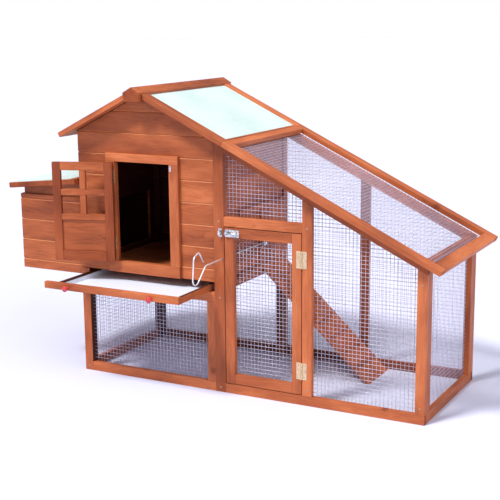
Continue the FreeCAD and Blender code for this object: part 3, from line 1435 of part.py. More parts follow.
os.makedirs("parts", exist_ok=True)
for thing in pieces:
    if thing.Shape.isNull() or not thing.Shape.isValid():
        raise RuntimeError("%s has no valid shape" % thing.Label)
    if not thing.Shape.Solids:
        raise RuntimeError("%s holds no solid" % thing.Label)
    thing.Shape.exportStep("parts/%s.step" % thing.Label)
print("wrote %d parts" % len(pieces))
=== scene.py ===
import bpy
import bmesh
import json
import math
import numpy as np
from mathutils import Matrix, Vector

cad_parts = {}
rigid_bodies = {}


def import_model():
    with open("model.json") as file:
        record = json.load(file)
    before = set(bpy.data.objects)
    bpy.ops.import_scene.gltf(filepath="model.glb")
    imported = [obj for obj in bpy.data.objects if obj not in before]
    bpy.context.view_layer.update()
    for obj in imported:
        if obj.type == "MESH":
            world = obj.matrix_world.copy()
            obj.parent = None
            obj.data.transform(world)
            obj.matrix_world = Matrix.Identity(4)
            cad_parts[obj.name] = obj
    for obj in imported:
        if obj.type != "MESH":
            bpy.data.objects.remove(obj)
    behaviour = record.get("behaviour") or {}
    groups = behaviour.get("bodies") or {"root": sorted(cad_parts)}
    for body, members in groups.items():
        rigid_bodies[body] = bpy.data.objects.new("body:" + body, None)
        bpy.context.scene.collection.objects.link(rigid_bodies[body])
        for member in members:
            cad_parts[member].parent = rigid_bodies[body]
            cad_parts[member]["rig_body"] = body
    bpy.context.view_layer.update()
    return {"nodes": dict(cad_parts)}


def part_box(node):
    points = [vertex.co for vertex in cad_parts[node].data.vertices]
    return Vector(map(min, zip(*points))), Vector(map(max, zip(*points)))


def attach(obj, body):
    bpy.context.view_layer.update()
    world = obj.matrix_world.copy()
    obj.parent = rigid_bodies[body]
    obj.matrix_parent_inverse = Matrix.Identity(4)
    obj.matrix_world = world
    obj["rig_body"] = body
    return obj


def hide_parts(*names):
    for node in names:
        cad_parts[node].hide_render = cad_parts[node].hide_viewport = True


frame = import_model()
cadNodes = frame["nodes"]
print("coop: frame loaded,", len(cadNodes), "nodes")


# data as an object of the scene, at the origin
def placeObject(name, data):
    obj = bpy.data.objects.new(name, data)
    bpy.context.scene.collection.objects.link(obj)
    return obj


camera = {
    "place": (2.13566, -3.86818, 1.465), "turn": 28.08, "down": 11.966, "roll": -0.54,
    "lens": 80.68, "sensor": 36, "nearest": 0.05, "farthest": 100,
}


# the camera looks turn degrees left of straight back and down degrees below level, then rolls
# about its own axis: ahead = (-sin turn cos down, cos turn cos down, -sin down)
def addCamera(c):
    turn, down, roll = (math.radians(c[k]) for k in ("turn", "down", "roll"))
    ahead = Vector((-math.sin(turn) * math.cos(down), math.cos(turn) * math.cos(down), -math.sin(down)))
    level = Vector((math.cos(turn), math.sin(turn), 0))
    upright = level.cross(ahead)
    right = level * math.cos(roll) + upright * math.sin(roll)
    up = upright * math.cos(roll) - level * math.sin(roll)
    data = bpy.data.cameras.new("coopCamera")
    data.lens = c["lens"]
    data.sensor_width = c["sensor"]
    data.clip_start, data.clip_end = c["nearest"], c["farthest"]
    aim = Matrix((right, up, -ahead)).transposed().to_4x4()
    cam = placeObject("coopCamera", data)
    cam.matrix_world = Matrix.Translation(c["place"]) @ aim
    bpy.context.scene.camera = cam


addCamera(camera)
print("coop: camera set")


# a new principled material with two functions: add makes a node and fills its sockets in order
# (a socket is linked, a plain value is set, None is left), join links to the shader
def newFinish(name):
    mat = bpy.data.materials.new(name)
    mat.use_nodes = True
    tree = mat.node_tree
    shader = tree.nodes["Principled BSDF"]

    def add(kind, settings, *values):
        node = tree.nodes.new("ShaderNode" + kind)
        for key, value in settings.items():
            setattr(node, key, value)
        for socket, value in zip(node.inputs, values):
            if isinstance(value, bpy.types.NodeSocket):
                tree.links.new(value, socket)
            elif value is not None:
                socket.default_value = value
        return node

    def join(socket, target):
        tree.links.new(socket, shader.inputs[target])

    return mat, shader, add, join


# one Math node on numbers or sockets
def maths(add, operation, *values):
    return add("Math", {"operation": operation}, *values).outputs[0]


# plus + the sum of each value times its share
def weighted(add, parts, plus=0.0):
    total = plus
    for value, share in parts:
        total = maths(add, "ADD", total, maths(add, "MULTIPLY", value, share))
    return total


# a vector or a colour multiplied axis by axis
def times(add, vector, scale):
    return add("VectorMath", {"operation": "MULTIPLY"}, vector, scale).outputs[0]


# the place on the object, in metres
def objectPlace(add):
    return add("TexCoord", {}).outputs["Object"]


# the first channel of a cell's random colour
def cellShade(add, cells):
    return add("SeparateXYZ", {}, cells.outputs["Color"]).outputs[0]


# blend from low to high as a value goes from start to end
def between(add, value, start, end, low=0.0, high=1.0):
    return add("MapRange", {}, value, start, end, low, high).outputs[0]


# three-dimensional noise on a vector stretched by a per-axis scale
def noiseOn(add, vector, scale, detail=3.0, rough=0.55):
    return add("TexNoise", {}, times(add, vector, scale), None, 1.0, detail, rough).outputs["Fac"]


# a colour ramp from (position, colour) stops
def ramp(add, value, stops):
    node = add("ValToRGB", {}, value)
    bar = node.color_ramp
    while len(bar.elements) < len(stops):
        bar.elements.new(0.5)
    for element, (place, colour) in zip(bar.elements, stops):
        element.position = place
        element.color = (*colour, 1)
    return node.outputs[0]


# a colour mix: inputs 0, 6 and 7 of the Mix node are its factor and its two colours
def mixColour(add, blend, factor, first, second):
    node = add("Mix", {"data_type": "RGBA", "blend_type": blend})
    sockets = (node.inputs[0], node.inputs[6], node.inputs[7])
    for socket, value in zip(sockets, (factor, first, second)):
        if isinstance(value, bpy.types.NodeSocket):
            node.id_data.links.new(value, socket)
        else:
            socket.default_value = value if isinstance(value, (int, float)) else (*value, 1)
    return node.outputs[2]


# Bump lists its inputs as strength, distance, filter width, height
def bumpFrom(add, height, strength, distance):
    return add("Bump", {}, strength, distance, None, height).outputs[0]


woodFinish = {
    "pale": (0.61, 0.188, 0.066), "mid": (0.425, 0.110, 0.034), "dark": (0.150, 0.028, 0.008),
    "shade": (0.62, 0.48, 0.38), "glow": (1.28, 1.32, 1.38),  # tints of the darkest and the lightest board
    # the third colour on the next line is a painted highlight for the sides of V-grooves
    "pore": (0.42, 0.30, 0.24), "knot": (0.150, 0.034, 0.012), "grooveHighlight": (0.86, 0.36, 0.15),
    # the second colour on the next line is painted shade, for faces inside the house or nest box or in the
    # coop's own shade
    "sawn": (0.62, 0.52, 0.46), "indoors": (0.13, 0.09, 0.09),
    "cover": {"pore": 0.35, "rim": 0.4, "knot": 0.7, "grooveHighlight": 0.3, "sawn": 0.8, "indoors": 1.0},
    "ringsPerMetre": 190.0,
    "push": {"sway": 0.055, "waver": 0.0045, "knot": 0.022},  # how far rings are pushed, in metres
    "perMetre": {  # how fine each noise is along, across and through a board
        "sway": (2.2, 9.0, 9.0), "waver": (9.0, 60.0, 60.0), "fibres": (14.0, 620.0, 620.0),
        "pores": (38.0, 1500.0, 1500.0), "clouds": (3.0, 11.0, 11.0)},
    "poreEdge": (0.52, 0.72),
    "ringShape": [(0.0, 0.0), (0.55, 0.22), (0.86, 0.85), (0.95, 1.0), (1.0, 0.0)],
    "knotsPerMetre": 4.4, "knotShare": 0.22,
    "knotReach": (0.0, 0.26), "knotSize": (0.030, 0.062), "knotRim": (0.045, 0.10),  # parts of a cell
    "streak": {"rings": 0.16, "fibres": 0.55, "clouds": 1.55, "start": -0.66, "mid": 0.42},
    "gloss": 0.38, "fibreRough": 0.26, "sawnRough": 0.25, "specular": 0.30,
    "relief": {"rings": 0.35, "fibres": 0.65, "knots": -0.3, "strength": 0.55, "depth": 0.0006},
}


# softwood under a brown stain. The board's own coordinates (along, across, through) come from
# the grain attribute. Rings are the saw-tooth of the distance from the pith line, pushed about
# by slow noise and by the knots; fibres are noise drawn out along the grain.
def makeWood(w):
    mat, shader, add, join = newFinish("stainedWood")
    grain = add("Attribute", {"attribute_name": "grain"}).outputs["Vector"]
    # of the attributes read here, the third is the amount of painted shade and the fourth the amount of
    # painted highlight on V-groove sides
    tone, sawn, indoors, cut = (add("Attribute", {"attribute_name": name}).outputs["Fac"]
                                for name in ("tone", "endGrain", "indoors", "freshCut"))

    flat = times(add, grain, (w["knotsPerMetre"], w["knotsPerMetre"], 0))
    cell = add("TexVoronoi", {"voronoi_dimensions": "2D", "feature": "F1"}, flat, None, 1.0)
    chosen = maths(add, "LESS_THAN", cellShade(add, cell), w["knotShare"])

    # 1 within the inner distance of a knot's middle, 0 past the outer one
    def roundKnot(innerDistance, outerDistance):
        fade = between(add, cell.outputs["Distance"], innerDistance, outerDistance, 1.0, 0.0)
        return maths(add, "MULTIPLY", fade, chosen)

    near = maths(add, "POWER", roundKnot(*w["knotReach"]), 2.0)
    knot = roundKnot(*w["knotSize"])
    rim = roundKnot(*w["knotRim"])

    fine = w["perMetre"]
    sway = noiseOn(add, grain, fine["sway"], 2.0)
    waver = noiseOn(add, grain, fine["waver"], 3.0)
    fibres = noiseOn(add, grain, fine["fibres"], 4.0, 0.6)
    pores = noiseOn(add, grain, fine["pores"], 2.0, 0.6)
    clouds = noiseOn(add, grain, fine["clouds"], 3.0, 0.6)

    radius = add("VectorMath", {"operation": "LENGTH"}, times(add, grain, (0, 1, 1))).outputs["Value"]
    push = w["push"]
    pushed = weighted(add, [(sway, push["sway"]), (waver, push["waver"]), (near, push["knot"])], radius)
    saw = maths(add, "FRACT", maths(add, "MULTIPLY", pushed, w["ringsPerMetre"]))
    rings = ramp(add, saw, [(place, (grey,) * 3) for place, grey in w["ringShape"]])

    share = w["streak"]
    streak = weighted(add, [(rings, share["rings"]), (fibres, share["fibres"]), (clouds, share["clouds"])],
                      share["start"])
    colour = ramp(add, streak, [(0.0, w["pale"]), (share["mid"], w["mid"]), (1.0, w["dark"])])
    for name, blend, amount, tint in (
            ("pore", "MULTIPLY", between(add, pores, *w["poreEdge"]), w["pore"]),
            ("rim", "MIX", rim, w["dark"]),
            ("knot", "MIX", knot, w["knot"]),
            # painted highlight: the sides of V-grooves are made paler, as if catching the light
            ("grooveHighlight", "MIX", cut, w["grooveHighlight"]),
            ("sawn", "MULTIPLY", sawn, w["sawn"]),
            # painted shade: faces in the rooms or in the coop's own shade are darkened
            ("indoors", "MULTIPLY", indoors, w["indoors"])):
        colour = mixColour(add, blend, maths(add, "MULTIPLY", amount, w["cover"][name]), colour, tint)
    join(times(add, colour, mixColour(add, "MIX", tone, w["shade"], w["glow"])), "Base Color")

    join(weighted(add, [(fibres, w["fibreRough"]), (sawn, w["sawnRough"])], w["gloss"]), "Roughness")
    shader.inputs["Specular IOR Level"].default_value = w["specular"]
    relief = w["relief"]
    height = weighted(add, [(rings, relief["rings"]), (fibres, relief["fibres"]), (knot, relief["knots"])])
    join(bumpFrom(add, height, relief["strength"], relief["depth"]), "Normal")
    return mat


wireFinish = {
    "bright": (0.62, 0.59, 0.72), "dull": (0.44, 0.42, 0.55), "metallic": 0.25,
    "roughDull": 0.57, "roughBright": 0.34, "patches": 60.0, "lumps": 900.0, "relief": 0.3, "depth": 0.0003,
}


# galvanised wire: zinc with dull patches, a little lumpy from the hot dip
def makeWire(w):
    mat, shader, add, join = newFinish("galvanisedWire")
    place = objectPlace(add)
    patch = noiseOn(add, place, (w["patches"],) * 3, 3.0)
    lump = noiseOn(add, place, (w["lumps"],) * 3, 2.0)
    join(ramp(add, patch, [(0.35, w["dull"]), (0.65, w["bright"])]), "Base Color")
    join(between(add, patch, 0.3, 0.7, w["roughDull"], w["roughBright"]), "Roughness")
    shader.inputs["Metallic"].default_value = w["metallic"]
    join(bumpFrom(add, lump, w["relief"], w["depth"]), "Normal")
    return mat


sheetFinish = {
    "pale": (0.80, 0.86, 0.98), "grey": (0.74, 0.80, 0.94), "metallic": 0.2, "roughGrey": 0.62,
    "roughPale": 0.36, "spangle": 95.0, "smear": (4.0, 40.0, 40.0), "relief": 0.1, "depth": 0.0003,
}


# galvanised sheet: crystals of zinc as Voronoi cells, each its own grey, with faint wiping marks
def makeSheetMetal(w):
    mat, shader, add, join = newFinish("galvanisedSheet")
    place = objectPlace(add)
    crystals = add("TexVoronoi", {"feature": "F1"}, place, None, w["spangle"])
    smear = noiseOn(add, place, w["smear"], 4.0)
    both = weighted(add, [(cellShade(add, crystals), 0.5), (smear, 0.5)])
    join(ramp(add, both, [(0.25, w["grey"]), (0.75, w["pale"])]), "Base Color")
    join(between(add, both, 0.2, 0.8, w["roughGrey"], w["roughPale"]), "Roughness")
    shader.inputs["Metallic"].default_value = w["metallic"]
    join(bumpFrom(add, both, w["relief"], w["depth"]), "Normal")
    return mat


metals = {
    "brassPlate": {"light": (0.78, 0.58, 0.36), "dark": (0.60, 0.42, 0.24), "metallic": 0.75, "rough": 0.34},
    "agedBrass": {"light": (0.42, 0.25, 0.12), "dark": (0.25, 0.13, 0.06), "metallic": 0.70, "rough": 0.42},
    "zincSteel": {"light": (0.80, 0.81, 0.83), "dark": (0.34, 0.35, 0.37), "metallic": 0.95, "rough": 0.24},
    "brightWire": {"light": (0.90, 0.91, 0.93), "dark": (0.70, 0.71, 0.74), "metallic": 0.60, "rough": 0.30},
    "dullScrew": {"light": (0.46, 0.34, 0.27), "dark": (0.30, 0.20, 0.15), "metallic": 0.55, "rough": 0.50},
}


rubbing = {
    "patches": 120.0, "strokes": (1400.0, 1400.0, 120.0), "uneven": 0.22,
    "relief": 0.12, "depth": 0.0002,
}


# a plated or polished metal: patches of two shades and fine rubbing drawn out along the height;
# roughness is the metal's own, give or take half of the unevenness
def makeMetal(name, m):
    mat, shader, add, join = newFinish(name)
    place = objectPlace(add)
    patch = noiseOn(add, place, (rubbing["patches"],) * 3, 4.0)
    rub = noiseOn(add, place, rubbing["strokes"], 2.0)
    join(ramp(add, patch, [(0.32, m["dark"]), (0.62, m["light"])]), "Base Color")
    join(weighted(add, [(rub, rubbing["uneven"])], m["rough"] - rubbing["uneven"] / 2), "Roughness")
    shader.inputs["Metallic"].default_value = m["metallic"]
    join(bumpFrom(add, rub, rubbing["relief"], rubbing["depth"]), "Normal")
    return mat


feltFinish = {
    "pale": (0.60, 0.70, 0.68), "mint": (0.51, 0.64, 0.61), "grit": (0.40, 0.47, 0.45),
    "grain": 520.0, "wash": 5.0, "gritCover": 0.6, "relief": 0.6, "depth": 0.0009,
}


# mineral roofing felt: stone grit as small Voronoi cells over a pale mat, with weather streaks
def makeFelt(f):
    mat, shader, add, join = newFinish("paleFelt")
    place = objectPlace(add)
    grit = add("TexVoronoi", {"feature": "F1"}, place, None, f["grain"])
    chip = cellShade(add, grit)
    wash = noiseOn(add, place, (f["wash"],) * 3, 4.0)
    base = ramp(add, wash, [(0.35, f["mint"]), (0.60, f["pale"])])
    cover = maths(add, "MULTIPLY", between(add, chip, 0.80, 0.95), f["gritCover"])
    join(mixColour(add, "MIX", cover, base, f["grit"]), "Base Color")
    join(between(add, chip, 0.0, 1.0, 0.80, 0.95), "Roughness")
    join(bumpFrom(add, grit.outputs["Distance"], f["relief"], f["depth"]), "Normal")
    return mat


redGloss = {
    "deep": (0.46, 0.022, 0.020), "faded": (0.62, 0.045, 0.036), "roughDeep": 0.34, "roughFaded": 0.22,
    "coat": 0.4, "fade": 90.0, "peel": 700.0, "relief": 0.1, "depth": 0.0004,
}


# turned wood under thick red gloss: a soft orange peel and a slight fade
def makeRedPaint(p):
    mat, shader, add, join = newFinish("redKnobPaint")
    place = objectPlace(add)
    fade = noiseOn(add, place, (p["fade"],) * 3, 3.0)
    peel = noiseOn(add, place, (p["peel"],) * 3, 1.0)
    join(ramp(add, fade, [(0.3, p["deep"]), (0.7, p["faded"])]), "Base Color")
    join(between(add, fade, 0.3, 0.7, p["roughDeep"], p["roughFaded"]), "Roughness")
    shader.inputs["Coat Weight"].default_value = p["coat"]
    join(bumpFrom(add, peel, p["relief"], p["depth"]), "Normal")
    return mat


stainedWood = makeWood(woodFinish)
galvanisedWire = makeWire(wireFinish)
galvanisedSheet = makeSheetMetal(sheetFinish)
paleFelt = makeFelt(feltFinish)
redPaint = makeRedPaint(redGloss)
metal = {name: makeMetal(name, m) for name, m in metals.items()}
print("coop: finishes mixed")


# a piece on a CAD body that stands for some nodes
def fit(obj, body, nodes):
    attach(obj, body)
    if nodes:
        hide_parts(*nodes)
    return obj


# a new mesh object from its points and faces, with one material
def addPiece(name, points, faces, material, smooth=True):
    mesh = bpy.data.meshes.new(name)
    mesh.from_pydata(np.asarray(points, float).tolist(), [], faces)
    mesh.polygons.foreach_set("use_smooth", np.full(len(mesh.polygons), smooth))
    mesh.update()
    mesh.validate()
    mesh.materials.append(material)
    return placeObject(name, mesh)


# all faces turned to look out of their own closed shell
def outward(obj):
    bm = bmesh.new()
    bm.from_mesh(obj.data)
    bmesh.ops.recalc_face_normals(bm, faces=bm.faces)
    bm.to_mesh(obj.data)
    bm.free()
    return obj


# quads between neighbours of a rows x cols grid written row by row; closed joins the last column
# to the first
def gridFaces(rows, cols, closed=False, start=0):
    r, c = np.meshgrid(np.arange(rows - 1), np.arange(cols if closed else cols - 1), indexing="ij")
    a = r * cols + c
    b = r * cols + (c + 1) % cols
    return (np.stack([a, b, b + cols, a + cols], -1).reshape(-1, 4) + start).tolist()


# faces of many tubes whose corners run tube by tube, station by station; each tube gets two end caps
def tubeFaces(tubes, stations, sides):
    faces = []
    quads = np.array(gridFaces(stations, sides, True))
    first = np.arange(sides)[::-1]
    last = np.arange(sides) + (stations - 1) * sides
    for k in range(tubes):
        start = k * stations * sides
        faces += (quads + start).tolist() + [(first + start).tolist(), (last + start).tolist()]
    return faces


# several shapes as one mesh
def gather(shapes):
    points, faces, start = [], [], 0
    for some, made in shapes:
        points.append(some)
        faces += [[i + start for i in face] for face in made]
        start += len(some)
    return np.concatenate(points), faces


# points in a part's own axes moved to the frame: origin + x*first + y*second + z*third
def setIn(points, origin, first, second, third):
    return np.asarray(origin, float) + points @ np.array([first, second, third], float)


# an axis as a unit vector, with two more square to it and to each other
def squareTo(axis):
    axis = np.array(axis, float) / np.linalg.norm(axis)
    first = np.cross(axis, (0, 0, 1) if abs(axis[2]) < 0.9 else (1, 0, 0))
    first /= np.linalg.norm(first)
    return axis, first, np.cross(axis, first)


# a turned shape: at each station the profile gives (height, radius), spun round the axis
def spin(profile, origin, axis, sides):
    axis, first, second = squareTo(axis)
    heights, radii = np.array(profile, float).T
    angle = np.linspace(0, 2 * np.pi, sides, endpoint=False)
    ring = np.stack([np.cos(angle), np.sin(angle)], -1)
    points = (heights[:, None, None] * axis + radii[:, None, None] *
              (ring[None, :, :1] * first + ring[None, :, 1:] * second))
    return points.reshape(-1, 3) + np.asarray(origin, float), tubeFaces(1, len(profile), sides)


# edge is the bevel's name, width in metres, steps and least angle in degrees
timber = {
    "seed": 41, "spread": 0.24, "edge": ("roundedEdges", 0.0014, 2, 32),
    "offset": {"along": 40, "across": 0.05, "through": (0.012, 0.075)},  # of the pith line, in metres
    "usualTone": 0.5,
    "tone": {  # from 0, the darkest board, to 1, the lightest
        "nest_box_boards": 0.30, "house_door_frame": 0.24, "house_door_panel": 0.42, "nest_lid": 0.42,
        "front_left_post": 0.50, "front_middle_post": 0.50,
        "house_front_boards": 0.52, "house_door_trim": 0.58,
        "run_door_frame": 0.62, "run_front_posts": 0.62, "run_front_rails": 0.60, "run_front_top_rail": 0.55,
        "roof_mesh_frame": 0.64, "roof_right_frame": 0.62, "roof_left_frame": 0.55, "ridge_beam": 0.52,
        "tray_frame": 0.52, "house_floor": 0.9, "under_front_frame": 0.62, "run_end_frame": 0.55,
        "ramp_board": 0.60,
    },
}
notTimber = {
    "under_front_mesh", "under_left_and_back_mesh", "run_door_mesh", "run_front_mesh", "run_end_mesh",
    "run_back_mesh", "roof_mesh", "tray_sheet", "tray_knobs", "pull_rod", "pull_rod_bracket", "bolt_barrel",
    "bolt_rod", "bolt_keeper", "house_door_button", "frame_screws", "house_door_hinge_fixed_leaves",
    "house_door_hinge_door_leaves", "run_door_hinge_post_leaves", "run_door_hinge_door_leaves",
    "nest_lid_hinge_wall_leaves", "nest_lid_hinge_lid_leaves", "roof_felt", "nest_lid_felt",
}


# how strongly painted shade darkens faces, 0 to 1: those that look into the house or the nest box, where
# shade falls (the lit house floor has its own value), and the front or right faces of timbers in the coop's
# own shade
shade = {
    "rooms": 1.0, "house_floor": 0.0,
    "fronts": {"back_posts": 0.5, "run_back_frame": 0.5, "under_back_rails": 0.55},
    "rights": {"under_left_rails": 0.4},
    "slack": 0.0005,  # metres that a room reaches into its walls
}
leftWall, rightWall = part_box("house_left_boards"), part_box("house_right_boards")
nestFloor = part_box("nest_floor")
rooms = np.array([
    [(leftWall[1].x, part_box("house_front_boards")[1].y, leftWall[0].z),
     (rightWall[0].x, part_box("house_back_boards")[0].y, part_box("ridge_beam")[0].z)],
    [(nestFloor[0].x, nestFloor[0].y, nestFloor[1].z),
     (leftWall[0].x, nestFloor[1].y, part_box("nest_lid")[1].z)],
])
rooms += np.array([[-shade["slack"]], [shade["slack"]]])


copying = {"merge": 2e-6, "flat": 0.6}  # metres, degrees


# the CAD node's mesh as a clean copy: loose corners merged, flat triangles joined
def cleanCopy(node, name):
    bm = bmesh.new()
    bm.from_mesh(cadNodes[node].data)
    bmesh.ops.remove_doubles(bm, verts=bm.verts, dist=copying["merge"])
    bmesh.ops.dissolve_limit(bm, angle_limit=math.radians(copying["flat"]), verts=bm.verts, edges=bm.edges)
    mesh = bpy.data.meshes.new(name)
    bm.to_mesh(mesh)
    bm.free()
    return mesh


# one value, or one vector, for each part of a mesh as an array
def readAll(parts, key, kind=float, width=1):
    values = np.empty(len(parts) * width, kind)
    parts.foreach_get(key, values)
    return values.reshape(-1, width) if width > 1 else values


# a mesh's corner points and its edges' two ends
def cornersAndEdges(mesh):
    return readAll(mesh.vertices, "co", width=3), readAll(mesh.edges, "vertices", int, 2)


# the number of the separate solid that each corner belongs to: every corner takes the lowest
# number among its neighbours until nothing changes
def solidOf(count, edges):
    label = np.arange(count)
    while True:
        before = label.copy()
        low = np.minimum(label[edges[:, 0]], label[edges[:, 1]])
        np.minimum.at(label, edges[:, 0], low)
        np.minimum.at(label, edges[:, 1], low)
        label = label[label]
        if np.array_equal(label, before):
            return np.unique(label, return_inverse=True)[1]


# the way a timber runs: the edge direction that adds up to the greatest length, then the next one
# square to it, then their cross product
def timberAxes(runs):
    length = np.linalg.norm(runs, axis=1)
    way = runs / np.maximum(length, 1e-9)[:, None]
    alike = np.abs(way @ way.T) > 0.9995  # within 2 degrees of each other
    along = way[np.argmax(alike @ length)]
    square = np.abs(way @ along) < 0.03  # within 2 degrees of square to the first
    if not square.any():
        square = np.abs(way @ along) < 0.9
    across = way[np.argmax((alike @ length) * square)]
    across = across - along * (across @ along)
    across /= np.linalg.norm(across)
    return along, across, np.cross(along, across)


# a face's value given to each of its corners; size is how many corners each face has
def setOnFaces(mesh, name, values, size):
    layer = mesh.attributes.new(name, "FLOAT", "CORNER")
    layer.data.foreach_set("value", np.repeat(values, size))


# coordinates for the grain: along, across and through each timber, each with its own offset, so
# that the pith line lies at random beside it
def layGrain(mesh, node, t, rng):
    points, edges = cornersAndEdges(mesh)
    solid = solidOf(len(points), edges)
    grain = np.zeros_like(points)
    tone = np.zeros(len(points))
    axes = np.zeros((solid.max() + 1, 3, 3))
    offset, base = t["offset"], t["tone"].get(node, t["usualTone"])
    for k in range(solid.max() + 1):
        mine = solid == k
        run = points[edges[mine[edges[:, 0]]]]
        axes[k] = timberAxes(run[:, 1] - run[:, 0])
        middle = (points[mine].min(0) + points[mine].max(0)) / 2
        shift = (rng.uniform(-offset["along"], offset["along"]),
                 rng.uniform(-offset["across"], offset["across"]),
                 rng.uniform(*offset["through"]) * rng.choice((-1, 1)))
        grain[mine] = (points[mine] - middle) @ axes[k].T + shift
        tone[mine] = np.clip(base + t["spread"] * rng.uniform(-1, 1), 0, 1)
    mesh.attributes.new("grain", "FLOAT_VECTOR", "POINT").data.foreach_set("vector", grain.ravel())
    mesh.attributes.new("tone", "FLOAT", "POINT").data.foreach_set("value", tone)

    normal = readAll(mesh.polygons, "normal", width=3)
    centre = readAll(mesh.polygons, "center", width=3)
    size = readAll(mesh.polygons, "loop_total", int)
    first = readAll(mesh.polygons, "loop_start", int)
    faceAxes = axes[solid[readAll(mesh.loops, "vertex_index", int)[first]]]
    slant = np.abs(np.einsum("ij,ikj->ik", normal, faceAxes))

    # an end's normal runs with the timber; a V-groove's sides stand at 45 degrees to its other two axes and
    # get a painted highlight
    setOnFaces(mesh, "endGrain", (slant[:, 0] > 0.6).astype(float), size)
    groove = np.abs(slant[:, 1:] - math.sqrt(0.5)).max(1) < 0.06
    setOnFaces(mesh, "freshCut", groove.astype(float), size)

    # painted shade: a face darkens when it lies in a room and looks towards the room's middle, or when it is
    # a listed front or right face
    dark = np.maximum(shade["fronts"].get(node, 0.0) * (normal[:, 1] < -0.5),
                      shade["rights"].get(node, 0.0) * (normal[:, 0] > 0.5))
    for corners in rooms:
        within = np.all((centre > corners[0]) & (centre < corners[1]), axis=1)
        within &= ((corners.mean(0) - centre) * normal).sum(1) > 0
        dark = np.maximum(dark, within * shade.get(node, shade["rooms"]))
    setOnFaces(mesh, "indoors", dark, size)


# a CAD copy as a piece of its own: one material, and a small bevel on its sharp edges
def addCopy(node, mesh, material, edge):
    name, width, segments, sharp = edge
    mesh.materials.clear()
    mesh.materials.append(material)
    obj = placeObject(mesh.name, mesh)
    round = obj.modifiers.new(name, "BEVEL")
    round.width = width
    round.segments = segments
    round.limit_method = "ANGLE"
    round.angle_limit = math.radians(sharp)
    return fit(obj, cadNodes[node]["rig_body"], [node])


rng = np.random.default_rng(timber["seed"])
for node in sorted(set(cadNodes) - notTimber):
    board = cleanCopy(node, node + "_timber")
    layGrain(board, node, timber, rng)
    addCopy(node, board, stainedWood, timber["edge"])
print("coop: timber sawn")


# corner points of each separate solid in a CAD node
def solidsOf(node):
    mesh = cleanCopy(node, node + "_corners")
    points, edges = cornersAndEdges(mesh)
    bpy.data.meshes.remove(mesh)
    solid = solidOf(len(points), edges)
    return [points[solid == k] for k in range(solid.max() + 1)]


wireMesh = {"seed": 7, "pitch": 0.0155, "wire": 0.0017, "sides": 6, "wander": 0.00035}


# the flat sheet that a CAD node's solid fills: its low left corner, the two ways it runs, its normal,
# its width, and its height at the left and at the right
def sheetFrame(points):
    middle = points.mean(0)
    normal = np.linalg.svd(points - middle, full_matrices=False)[2][2]
    up = np.array([0, 0, 1.0]) - normal * normal[2]
    up /= np.linalg.norm(up)
    side = np.cross(up, normal)
    flat = np.stack([(points - middle) @ side, (points - middle) @ up], -1)
    low = flat.min(0)
    flat -= low
    width = flat[:, 0].max()
    left = flat[flat[:, 0] < 0.002, 1].max()
    right = flat[flat[:, 0] > width - 0.002, 1].max()
    return middle + side * low[0] + up * low[1], side, up, normal, width, left, right


# welded wires: uprights at even steps from the bottom to the top line, level wires a wire's thickness
# behind them as far as the top line lets them run; each is a thin bar with a small wander
def weldedSheet(points, m, rng):
    corner, side, up, normal, width, left, right = sheetFrame(points)
    columns = round(width / m["pitch"])
    across = np.linspace(0, width, columns + 1)[1:-1] + rng.normal(0, m["wander"], columns - 1)
    top = left + (right - left) * across / width
    starts = np.stack([across, np.zeros_like(across)], -1)
    ends = np.stack([across, top], -1)
    rows = round(max(left, right) / m["pitch"])
    level = np.linspace(0, max(left, right), rows + 1)[1:-1] + rng.normal(0, m["wander"], rows - 1)
    slope = (right - left) / width
    begin = np.zeros_like(level) if slope <= 0 else np.maximum(0, (level - left) / slope)
    finish = np.full_like(level, width) if slope >= -1e-6 else np.minimum(width, (level - left) / slope)
    keep = finish - begin > m["pitch"] / 2
    starts = np.concatenate([starts, np.stack([begin, level], -1)[keep]])
    ends = np.concatenate([ends, np.stack([finish, level], -1)[keep]])
    depth = np.concatenate([np.full(len(across), 0.5), np.full(int(keep.sum()), -0.5)]) * m["wire"]
    sway = rng.normal(0, m["wander"] * 0.6, len(depth))

    way = (ends - starts) / np.linalg.norm(ends - starts, axis=1)[:, None]
    beside = np.stack([-way[:, 1], way[:, 0]], -1)
    angle = np.linspace(0, 2 * np.pi, m["sides"], endpoint=False)
    stations = np.array([0, 0.5, 1])
    line = starts[:, None] + (ends - starts)[:, None] * stations[None, :, None]
    line = line + beside[:, None] * (sway[:, None] * np.array([0, 1, 0]))[..., None]
    flat = line[:, :, None] + beside[:, None, None] * (np.cos(angle) * m["wire"] / 2)[None, None, :, None]
    out = depth[:, None, None] + np.sin(angle)[None, None, :] * m["wire"] / 2
    out = np.broadcast_to(out, flat.shape[:3])
    bars = corner + flat[..., :1] * side + flat[..., 1:] * up + out[..., None] * normal
    return bars.reshape(-1, 3), tubeFaces(len(starts), 3, m["sides"])


rng = np.random.default_rng(wireMesh["seed"])
for node in sorted(n for n in notTimber if n.endswith("mesh")):
    sheets = [weldedSheet(points, wireMesh, rng) for points in solidsOf(node)]
    wires = outward(addPiece(node + "_wires", *gather(sheets), galvanisedWire))
    fit(wires, cadNodes[node]["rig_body"], [node])
print("coop: wire stretched")


feltSheet = {
    "seed": 19, "thick": 0.0022, "step": 0.02, "ripple": 0.0007, "fade": 12,
    "waves": (2.0, 3.7, 6.1, 11.0), "perMetre": (6, 5),
}


